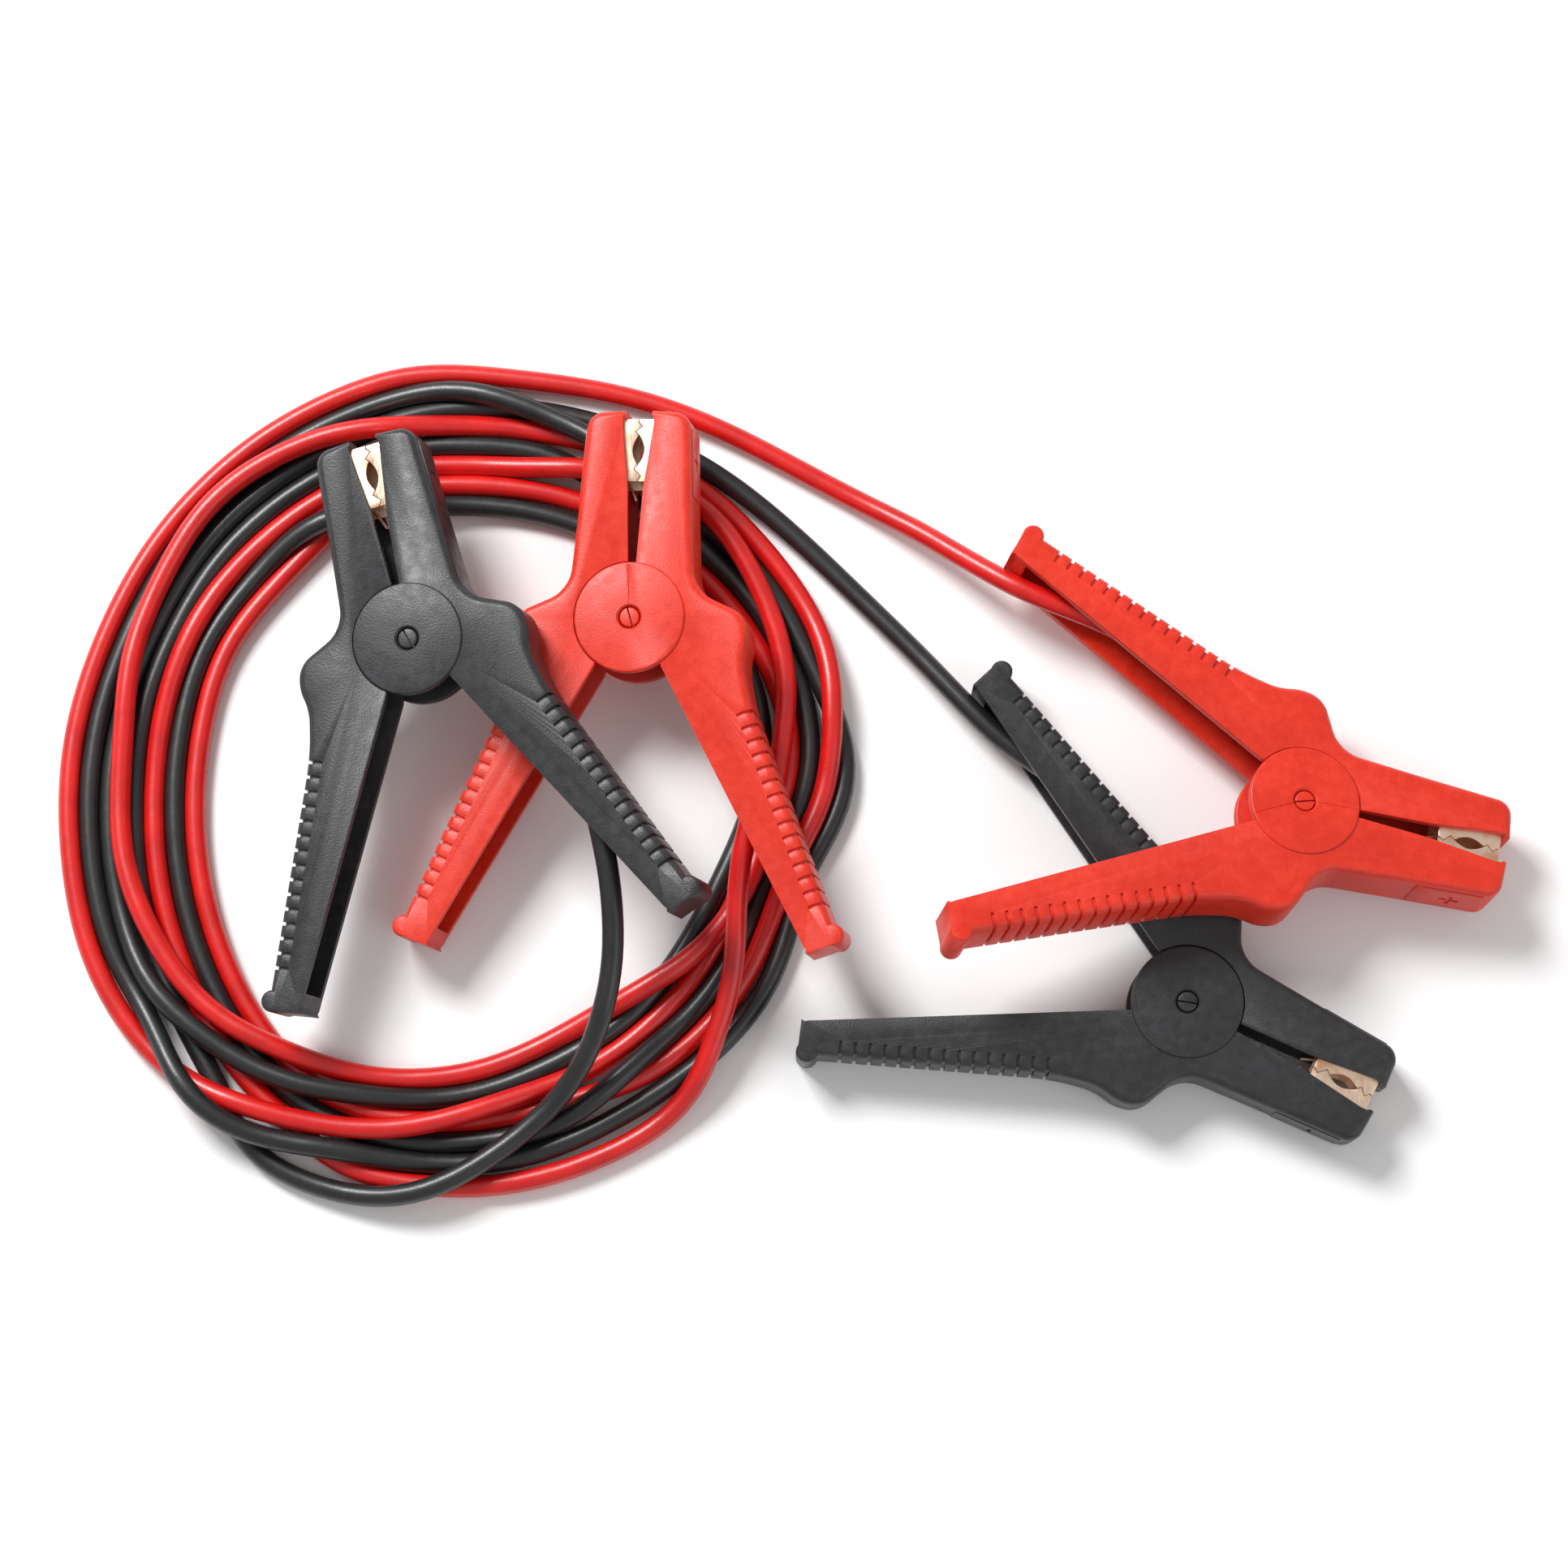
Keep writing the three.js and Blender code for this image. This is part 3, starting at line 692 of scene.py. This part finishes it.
def drum(radius, low, high, segments=64, rounding=0.0):
    """A round slab on Z, with its rims rounded."""
    shape = bmesh.new()
    bmesh.ops.create_cone(
        shape, cap_ends=True, segments=segments, radius1=radius, radius2=radius, depth=high - low
    )
    bmesh.ops.translate(shape, vec=(0, 0, (low + high) / 2), verts=shape.verts)
    if rounding:
        rims = [edge for edge in shape.edges if abs(edge.verts[0].co.z - edge.verts[1].co.z) < 1e-4]
        round_edges(shape, rims, rounding, 3)
    return shape


def brick(size, middle, turn=0.0):
    """A box of this size, turned about Z and moved to its middle."""
    shape = bmesh.new()
    bmesh.ops.create_cube(shape, size=1.0)
    place = Matrix.Translation(middle) @ Matrix.Rotation(turn, 4, "Z") @ Matrix.Diagonal((*size, 1.0))
    bmesh.ops.transform(shape, matrix=place, verts=shape.verts)
    return shape


def as_object(shape, name="part"):
    """Turns a bmesh into an object."""
    data = bpy.data.meshes.new(name)
    shape.to_mesh(data)
    shape.free()
    piece = bpy.data.objects.new(name, data)
    bpy.context.scene.collection.objects.link(piece)
    return piece


def apply_modifiers(piece):
    """Bakes the modifiers into the mesh."""
    bpy.context.view_layer.update()
    seen = piece.evaluated_get(bpy.context.evaluated_depsgraph_get())
    baked = bpy.data.meshes.new_from_object(seen)
    piece.modifiers.clear()
    piece.data = baked


def shade(piece, degrees):
    """Shades the piece smooth, except over edges sharper than this."""
    piece.data.shade_smooth()
    piece.data.set_sharp_from_angle(angle=math.radians(degrees))


def soften(piece, width, degrees):
    """Rounds every edge sharper than this a little, as moulded and pressed edges are."""
    edges = piece.modifiers.new("edges", "BEVEL")
    edges.width = width
    edges.segments = 2
    edges.limit_method = "ANGLE"
    edges.angle_limit = math.radians(degrees)
    apply_modifiers(piece)


def combine(piece, shape, operation):
    """Joins the shape to the piece, or cuts it out."""
    tool = as_object(shape, "tool")
    modifier = piece.modifiers.new("combine", "BOOLEAN")
    modifier.operation = operation
    modifier.solver = "EXACT"
    modifier.object = tool
    apply_modifiers(piece)
    bpy.data.objects.remove(tool)


# %% [markdown]
# A lever is a channel moulding. Its outline comes straight from the engineering model: jaw tip,
# outer corner, the concave shoulder, the hump that stops fingers from slipping, and the long
# handle. The edges between the cheeks and the outer wall are rounded by 2.5 mm, which is what
# gives these grips their soft look.

# %% Outline of a lever
HALF_WIDTH = 9.3
CHEEK_INSIDE = 7.1
DISC_RADIUS = 17
DISC_TOP = 10.0
CLEARANCE = 0.3
PIN_HOLE = 3.4
RIM_ROUNDING = 2.5
EDGE_ROUNDING = 0.22
HANDLE_START = Vector((37.8, -26, 0))
HANDLE_ALONG = Vector((27.2, -65.5, 0)).normalized()
HANDLE_OUT = Vector((-HANDLE_ALONG.y, HANDLE_ALONG.x, 0))
HANDLE_LENGTH = 70.9
KNOB_PAST_HANDLE = 3.4
KNOB_RADIUS = 3.3
KNOB_INSET = 0.04

end_outer = HANDLE_START + HANDLE_ALONG * (HANDLE_LENGTH + 6.2)
LEVER_OUTLINE = [
    (15.75, 63.7), (18.0, 26.0), (19.4, 8.6), (34.3, 1.9), (36.8, -5.0), (35.0, -12.5),
    (37.8, -26.0), (end_outer.x, end_outer.y), (57.4, -100.9), (57.6, -99.6), (57.0, -99.0),
    (55.5, -96.2), (10.3, -14.9), (1.3, 17.3), (2.4, 39.5), (4.9, 60.6), (4.7, 62.3),
    (4.2, 62.8), (4.2, 64.4),
]
LEVER_CORNERS = [4.4, 8.0, 6.0, 3.2, 3.6, 3.6, 6.0, 0.6, 0.3, 0, 0.3, 0, 0, 0, 0, 0.8]


def outer_rim(shape):
    """The edges between the cheeks and the outer wall."""
    rim = []
    for face in shape.faces:
        if abs(face.normal.z) < 0.5 and face.normal.x > 0.02 and face.normal.y > -0.75:
            rim += [e for e in face.edges if abs(e.verts[0].co.z - e.verts[1].co.z) < 1e-4]
    return list(set(rim))


# %% [markdown]
# The hollow leaves the cheeks 2.2 mm and the outer wall 2.4 mm thick and is open on the inner
# side. Round the pivot the lever has a cover disc on one side and a plain eye on the other, so
# that two levers put together half a turn apart make one hinge.

# %% Hollow, disc and eye
HOLLOW = [
    (-30, 62.4), (13.3, 62.2), (15.6, 26.0), (16.9, 6.9), (32.9, -0.2), (34.2, -4.6),
    (32.6, -12.2), (35.4, -26.7), (63.6, -94.2), (55.8, -95.4), (47, -95.4), (-30, -30),
]
EYE_TOP = CHEEK_INSIDE - CLEARANCE
EYE_UNDER = EYE_TOP - 2.0
EYE_RADIUS = 12.5
PIN_SINK = 1.1
LINK_GAP = 0.06
LINK_RADIUS = 21
LINK_FROM = math.radians(-42)
LINK_TO = math.radians(52)


def link_outline():
    """The sector that ties the eye to its lever."""
    angles = np.linspace(LINK_FROM, LINK_TO, 13)
    return [(0.0, 0.0)] + [(LINK_RADIUS * math.cos(a), LINK_RADIUS * math.sin(a)) for a in angles]


def plain_lever():
    """The moulding before its grip slots and marks.

    The link is cut a hair wider than the recess, because two round walls in one place would
    leave an open slit.
    """
    shape = prism(LEVER_OUTLINE, -HALF_WIDTH, HALF_WIDTH, LEVER_CORNERS)
    round_edges(shape, outer_rim(shape), RIM_ROUNDING, 5)
    lever = as_object(shape, "lever")
    combine(lever, prism(HOLLOW, -CHEEK_INSIDE, CHEEK_INSIDE, [0, 2, 6, 4, 2, 3, 3, 4, 2]), "DIFFERENCE")
    knob = drum(KNOB_RADIUS, KNOB_INSET - HALF_WIDTH, HALF_WIDTH - KNOB_INSET, 32, 1.0)
    centre = HANDLE_START + HANDLE_ALONG * (HANDLE_LENGTH + KNOB_PAST_HANDLE) - HANDLE_OUT * 1.0
    bmesh.ops.translate(knob, vec=centre, verts=knob.verts)
    combine(lever, knob, "UNION")
    recess = drum(DISC_RADIUS + CLEARANCE, -HALF_WIDTH - 1, -CHEEK_INSIDE + 0.2, 96)
    combine(lever, recess, "DIFFERENCE")
    combine(lever, drum(DISC_RADIUS, CHEEK_INSIDE, DISC_TOP, 96, 0.6), "UNION")
    link = as_object(prism(link_outline(), -CHEEK_INSIDE - 0.2, -EYE_UNDER), "link")
    combine(link, drum(DISC_RADIUS + CLEARANCE + LINK_GAP, -DISC_TOP, -EYE_TOP, 96), "DIFFERENCE")
    combine(link, drum(EYE_RADIUS, -EYE_TOP, -EYE_UNDER, 64), "UNION")
    tie = bmesh.new()
    tie.from_mesh(link.data)
    bpy.data.objects.remove(link)
    combine(lever, tie, "UNION")
    combine(lever, drum(PIN_HOLE, -DISC_TOP - 1, DISC_TOP + 1, 48), "DIFFERENCE")
    sink = bmesh.new()
    bmesh.ops.create_cone(
        sink, cap_ends=True, segments=48, radius1=PIN_HOLE - 0.1, radius2=PIN_HOLE + 1.0, depth=PIN_SINK
    )
    bmesh.ops.translate(sink, vec=(0, 0, DISC_TOP - 0.1), verts=sink.verts)
    combine(lever, sink, "DIFFERENCE")
    return lever


# %% [markdown]
# Fifteen grip slots run over each handle: a notch across the outer wall that turns the corner
# and ends 5 mm down each cheek. One cutter has that bracket shape, and it is repeated along the
# handle and cut out in one go.

# %% Grip slots
SLOT_COUNT = 15
SLOT_PITCH = 4.45
SLOT_START = 0.45
SLOT_WIDTH = 1.15
SLOT_DEPTH = 0.75
SLOT_REACH = 5.0
NOTCH_DEPTH = 1.0


def grip_cutter():
    """All the grip slots as one shape."""
    top = HALF_WIDTH - SLOT_DEPTH
    bracket = [
        (-NOTCH_DEPTH, top), (-NOTCH_DEPTH, -top), (-SLOT_REACH, -top), (-SLOT_REACH, -12),
        (3, -12), (3, 12), (-SLOT_REACH, 12), (-SLOT_REACH, top),
    ]
    one = prism(bracket, -SLOT_WIDTH / 2, SLOT_WIDTH / 2, [1.7, 1.7])
    inner_ends = [
        edge for edge in one.edges
        if all(abs(v.co.x + SLOT_REACH) < 1e-3 for v in edge.verts)
        and abs(edge.verts[0].co.y - edge.verts[1].co.y) > 1
    ]
    round_edges(one, inner_ends, SLOT_WIDTH * 0.45, 3)
    stand = Matrix((HANDLE_OUT, (0, 0, 1), HANDLE_ALONG)).transposed().to_4x4()
    bmesh.ops.transform(one, matrix=stand, verts=one.verts)
    cutter = bmesh.new()
    for index in range(SLOT_COUNT):
        one_data = bpy.data.meshes.new("slot")
        one.to_mesh(one_data)
        place = HANDLE_START + HANDLE_ALONG * (index + SLOT_START) * SLOT_PITCH
        one_data.transform(Matrix.Translation(place))
        cutter.from_mesh(one_data)
        bpy.data.meshes.remove(one_data)
    one.free()
    bmesh.ops.recalc_face_normals(cutter, faces=cutter.faces)
    return cutter


# %% [markdown]
# Near the jaw tip the outer wall has a slightly raised pad with the pole's sign sunk into it: a
# plus on the red clamps and a minus on the black ones. On the red clamps a thin weld line runs
# over the cover disc, where two flows of plastic met in the mould.

# %% Pads, signs and weld lines
PAD_MIDDLE = 48.5
PAD_LENGTH = 21
PAD_WIDTH = 13
WALL_TURN = math.atan2(2.2, 37.7)
WALL_AT_PAD = Vector((18.0 - (PAD_MIDDLE - 26.0) * 2.25 / 37.7, PAD_MIDDLE, 0))
SIGN_LENGTH = 6.0
SIGN_STROKE = 1.2


def sign(lever, plus):
    """The pad on the outer wall and the pole's sign in it."""
    pad = brick((1.6, PAD_LENGTH, PAD_WIDTH), WALL_AT_PAD - Vector((0.5, 0, 0)), WALL_TURN)
    combine(lever, pad, "UNION")
    middle = WALL_AT_PAD + Vector((0.3, 1.5, 0))
    combine(lever, brick((1.0, SIGN_STROKE, SIGN_LENGTH), middle, WALL_TURN), "DIFFERENCE")
    if plus:
        combine(lever, brick((1.02, SIGN_LENGTH, SIGN_STROKE), middle, WALL_TURN), "DIFFERENCE")


def weld_lines(lever):
    """Thin creases over the cover disc."""
    for angle, start, length in ((93, 3.0, 13.2), (-62, 3.6, 12.6)):
        turn = math.radians(angle)
        centre = start + length / 2
        middle = (centre * math.cos(turn), centre * math.sin(turn), DISC_TOP)
        combine(lever, brick((length, 0.22, 0.36), middle, turn), "DIFFERENCE")


def tidied(lever):
    """Merges the sliver edges that the booleans leave."""
    shape = bmesh.new()
    shape.from_mesh(lever.data)
    bmesh.ops.remove_doubles(shape, verts=shape.verts, dist=0.01)
    bmesh.ops.dissolve_degenerate(shape, edges=shape.edges, dist=0.005)
    shape.to_mesh(lever.data)
    shape.free()


def finished_lever(plus):
    """A whole lever, red with a plus or black with a minus."""
    lever = plain_lever()
    combine(lever, grip_cutter(), "DIFFERENCE")
    sign(lever, plus)
    if plus:
        weld_lines(lever)
    tidied(lever)
    soften(lever, EDGE_ROUNDING, 55)
    shade(lever, 38)
    print("lever has", len(lever.data.polygons), "faces")
    return lever


# %% [markdown]
# A finished shape in millimetres is copied into its place in the set, so that every object sits
# at the origin with its place in its mesh. Each copy rides on its body, stands in for its node of
# the engineering model, which is hidden, and gets the material it is given.

# %% Put a shape in its place
ROOT = "coil_and_cable_levers"


def put(shape, name, place, body, node, material):
    """A copy of the shape at its place, tied to the engineering model."""
    data = shape.data.copy()
    data.transform(place)
    data.materials.clear()
    data.materials.append(material)
    piece = bpy.data.objects.new(name, data)
    bpy.context.scene.collection.objects.link(piece)
    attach(piece, body)
    if node:
        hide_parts(node)
    return piece


def lever_place(clamp_name, side):
    """Where the lever on this side of a clamp lies."""
    return PLACES[clamp_name] @ (HALF_TURN if side < 0 else Matrix())


def both_levers(clamp_name):
    """Side, kind and body of a clamp's two levers."""
    side = CLAMPS[clamp_name]["cable_side"]
    return ((side, "cable", ROOT), (-side, "free", f"free_lever_{clamp_name}_body"))


# %% Place the eight levers
for colour, plus, plastic in (("red", True, red_plastic), ("black", False, black_plastic)):
    lever = finished_lever(plus)
    for clamp_name in (name for name in CLAMPS if name.startswith(colour)):
        for side, kind, body in both_levers(clamp_name):
            place = lever_place(clamp_name, side)
            node = f"{kind}_lever_{clamp_name}"
            put(lever, f"{kind}_grip_{clamp_name}", place, body, node, plastic)
    bpy.data.objects.remove(lever)

# %% [markdown]
# The contacts are pressed from copper-plated sheet, 0.8 mm thick. Each is a small trough in the
# jaw with a toothed edge, bent round at the tip. The teeth of the two contacts fit into each
# other, and between them an eye-shaped opening holds a round battery pole.

# %% Contacts
CONTACT_TOP = 61.9
CONTACT_BASE = 42.5
SHEET = 0.8
SHEET_ROUNDING = 0.14
CONTACT_SIDE = CHEEK_INSIDE - CLEARANCE
TOOTH = 1.15
TEETH = [(0.0, 0.0), (0.09, 0.9), (0.2, -1.0), (0.27, 0.0)]
OPENING = [(0.33, 0.75), (0.4, 1.35), (0.48, 1.7), (0.56, 1.6), (0.64, 1.1), (0.71, 0.4)]
LAST_TEETH = [(0.74, 0.0), (0.8, -0.9), (0.89, 0.9), (0.95, -0.2), (1.0, 0.0)]


def contact_shape(side):
    """The contact of the +X lever. side tells which way its teeth point."""
    reach = CONTACT_TOP - CONTACT_BASE
    edge = [(CLEARANCE / 2 + x * TOOTH * side, CONTACT_BASE + y * reach) for y, x in TEETH]
    edge += [(CLEARANCE / 2 + x, CONTACT_BASE + y * reach) for y, x in OPENING]
    edge += [(CLEARANCE / 2 + x * TOOTH * side, CONTACT_BASE + y * reach) for y, x in LAST_TEETH]
    back = [(13.3, CONTACT_BASE), (12.4, 58.9), (9.4, CONTACT_TOP)]
    shape = prism(back + edge[::-1], -CONTACT_SIDE, CONTACT_SIDE, [0, 1.2, 1.0])
    long_edges = [
        e for e in shape.edges
        if all(v.co.x > 9 for v in e.verts) and abs(e.verts[0].co.z - e.verts[1].co.z) < 1e-4
        and abs(e.verts[0].co.y - e.verts[1].co.y) > 5
    ]
    round_edges(shape, long_edges, 1.1, 3)
    contact = as_object(shape, "contact")
    trough = [
        (13.3 - SHEET, CONTACT_BASE - 2), (12.4 - SHEET, 58.5), (9.2, CONTACT_TOP - SHEET),
        (-6, CONTACT_TOP - SHEET), (-6, CONTACT_BASE - 2),
    ]
    inside = CONTACT_SIDE - SHEET
    combine(contact, prism(trough, -inside, inside, [0, 1.0, 0.8]), "DIFFERENCE")
    strip = brick((SHEET, 6.0, 3.0), (3.2, CONTACT_BASE - 1.2, CONTACT_SIDE - 2.4), -0.42)
    combine(contact, strip, "UNION")
    soften(contact, SHEET_ROUNDING, 50)
    shade(contact, 35)
    return contact


for side in (1, -1):
    contact = contact_shape(side)
    for clamp_name in CLAMPS:
        for lever_side, kind, body in both_levers(clamp_name):
            if lever_side == side:
                place = lever_place(clamp_name, side)
                node = f"{kind}_contact_{clamp_name}"
                put(contact, f"{kind}_copper_{clamp_name}", place, body, node, copper)
    print("contact has", len(contact.data.polygons), "faces")
    bpy.data.objects.remove(contact)

# %% [markdown]
# The pivot pin is a plastic snap pin: a plug with a slit in each end, whose two halves spring
# apart behind the discs. Inside, round the pin, sits a torsion spring of 2.2 mm steel wire. The
# spring is a curve along a helix with a round bevel, turned into a mesh as the leads are.

# %% Pins
PIN_RADIUS = 3.1
PIN_END = 9.6
SLIT = (0.5, 8.0, 4.0)
SLIT_TURN = math.radians(18)


def pin_shape():
    """A snap pin with a slit in each end."""
    pin = as_object(drum(PIN_RADIUS, -PIN_END, PIN_END, 48, 0.55), "pin")
    for end in (1, -1):
        slit = brick(SLIT, (0.2, 0, end * (PIN_END + 0.2)), SLIT_TURN)
        combine(pin, slit, "DIFFERENCE")
    shade(pin, 38)
    return pin


pin = pin_shape()
for clamp_name in CLAMPS:
    colour = clamp_name.split("_")[0]
    plastic = red_plastic if colour == "red" else black_plastic
    node = f"pivot_pin_{clamp_name}"
    put(pin, f"snap_pin_{clamp_name}", PLACES[clamp_name], ROOT, node, plastic)
bpy.data.objects.remove(pin)

# %% Springs
SPRING_WIRE = 2.2
SPRING_TURNS = 3.6
SPRING_RADIUS = PIN_HOLE + SPRING_WIRE / 2 + 0.02
SPRING_HALF = EYE_UNDER - CLEARANCE - SPRING_WIRE / 2


def helix(place):
    """Points along the spring's wire."""
    points = []
    steps = int(SPRING_TURNS * 24)
    for index in range(steps + 1):
        angle = math.tau * SPRING_TURNS * index / steps
        height = SPRING_HALF * (2 * index / steps - 1)
        ring = Vector((SPRING_RADIUS * math.cos(angle), SPRING_RADIUS * math.sin(angle), height))
        points.append(place @ ring)
    return points


for clamp_name, place in PLACES.items():
    wire = tube(f"spring_{clamp_name}", helix(place), SPRING_WIRE / 2 * MM, 4)
    wire.data.materials.append(zinc)
    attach(wire, ROOT)
    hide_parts(f"spring_coil_{clamp_name}")

# %% [markdown]
# The cable ends in a crimped steel barrel inside the handle, and a bundle of bare copper wires
# comes out of the barrel's far end. The barrel is half of its cross-section, spun round its
# axis: a rounded tube with two grooves where the crimping tool bit.

# %% Crimps and bare conductor
CRIMP_HALF = 7.0
CRIMP_RADIUS = 4.6
CRIMP_BITE = 4.05
WIRE_RADIUS = 0.85
WIRE_CIRCLE = 1.75
WIRE_LENGTH = 4.2


def crimp_shape():
    """A crimped barrel along Y."""
    shape = bmesh.new()
    across = [0, 3.9, 4.3, CRIMP_RADIUS, CRIMP_RADIUS, CRIMP_BITE, CRIMP_BITE, CRIMP_RADIUS]
    along = [-CRIMP_HALF, -CRIMP_HALF, -6.8, -6.2, -4.2, -3.6, -1.8, -1.2]
    half = list(zip(across, along))
    profile = half + [(x, -y) for x, y in reversed(half)]
    row = [shape.verts.new((x, y, 0)) for x, y in profile]
    edges = [shape.edges.new(pair) for pair in zip(row, row[1:])]
    bmesh.ops.spin(
        shape, geom=row + edges, axis=(0, 1, 0), cent=(0, 0, 0), angle=math.tau, steps=32,
        use_merge=True,
    )
    bmesh.ops.remove_doubles(shape, verts=shape.verts, dist=1e-4)
    bmesh.ops.recalc_face_normals(shape, faces=shape.faces)
    crimp = as_object(shape, "crimp")
    shade(crimp, 40)
    return crimp


def conductor_shape():
    """Seven bare wires out of the barrel's inner end."""
    shape = bmesh.new()
    sixths = np.arange(6) * math.pi / 3
    spots = [(0, 0)] + [(WIRE_CIRCLE * math.cos(a), WIRE_CIRCLE * math.sin(a)) for a in sixths]
    for x, z in spots:
        turn = Matrix.Translation((x, CRIMP_HALF + 1.9, z)) @ Matrix.Rotation(math.pi / 2, 4, "X")
        bmesh.ops.create_cone(
            shape, cap_ends=True, segments=12, radius1=WIRE_RADIUS, radius2=WIRE_RADIUS * 0.94,
            depth=WIRE_LENGTH, matrix=turn,
        )
    conductor = as_object(shape, "conductor")
    shade(conductor, 40)
    return conductor


def crimp_place(clamp):
    """Where the barrel lies in its clamp, with its inner end towards the pivot."""
    spot = HANDLE_START + HANDLE_ALONG * clamp["crimp_along"] - HANDLE_OUT * (2.4 + 0.3 + CRIMP_RADIUS)
    side = clamp["cable_side"]
    turn = side * math.atan2(HANDLE_ALONG.x, -HANDLE_ALONG.y)
    return Matrix.Translation((side * spot.x, spot.y, 0)) @ Matrix.Rotation(turn, 4, "Z")


crimp, conductor = crimp_shape(), conductor_shape()
for clamp_name, clamp in CLAMPS.items():
    place = PLACES[clamp_name] @ crimp_place(clamp)
    node = f"crimp_{clamp_name}"
    put(crimp, f"barrel_{clamp_name}", place, ROOT, node, zinc)
    put(conductor, f"conductor_{clamp_name}", place, ROOT, None, bare_copper)
for shape in (crimp, conductor):
    bpy.data.objects.remove(shape)

# %% [markdown]
# The set lies on a plain, almost white floor of matt paper, as in a catalogue. Large soft lights
# give the cables their long pale streaks. The key light stands at the upper left of the picture.

# %% Floor
FLOOR_HALF = 3.0
FLOOR_DROP = 0.3 * MM
floor_mesh = bmesh.new()
bmesh.ops.create_grid(floor_mesh, x_segments=1, y_segments=1, size=FLOOR_HALF)
floor = as_object(floor_mesh, "floor")
floor.location = (0, 0, -FLOOR_DROP)

paper, tree, place = new_material("matt_white_paper")
fibres = add(tree, "TexNoise", {"Vector": place, "Scale": per_size(1.2), "Detail": 3.0})
tint = add(tree, "ValToRGB", {"Fac": fibres.outputs["Fac"]})
tint.color_ramp.elements[0].color = linear("#F6F6F6")
tint.color_ramp.elements[1].color = linear("#FBFBFB")
sheet = add(tree, "BsdfPrincipled", {"Base Color": tint.outputs["Color"], "Roughness": 0.9})
add(tree, "OutputMaterial", {"Surface": sheet.outputs["BSDF"]})
floor.data.materials.append(paper)

# %% Light


def soft_light(name, spot, size, power):
    """A square studio light that faces the set."""
    data = bpy.data.lights.new(name, "AREA")
    data.size = size
    data.energy = power
    lamp = bpy.data.objects.new(name, data)
    lamp.location = spot
    lamp.rotation_mode = "QUATERNION"
    lamp.rotation_quaternion = (Vector(spot) - TARGET).to_track_quat("Z", "Y")
    bpy.context.scene.collection.objects.link(lamp)


soft_light("key_light", (-0.8, 0.9, 1.3), 0.6, 32)
soft_light("fill_light", (1.2, -0.9, 1.2), 1.2, 6)

world = bpy.data.worlds.new("pale_room")
world.use_nodes = True
world.node_tree.nodes["Background"].inputs["Color"].default_value = linear("#FFFFFF")
world.node_tree.nodes["Background"].inputs["Strength"].default_value = 0.45
bpy.context.scene.world = world
bpy.context.scene.view_settings.view_transform = "Standard"

# %% Finish
bpy.context.view_layer.update()
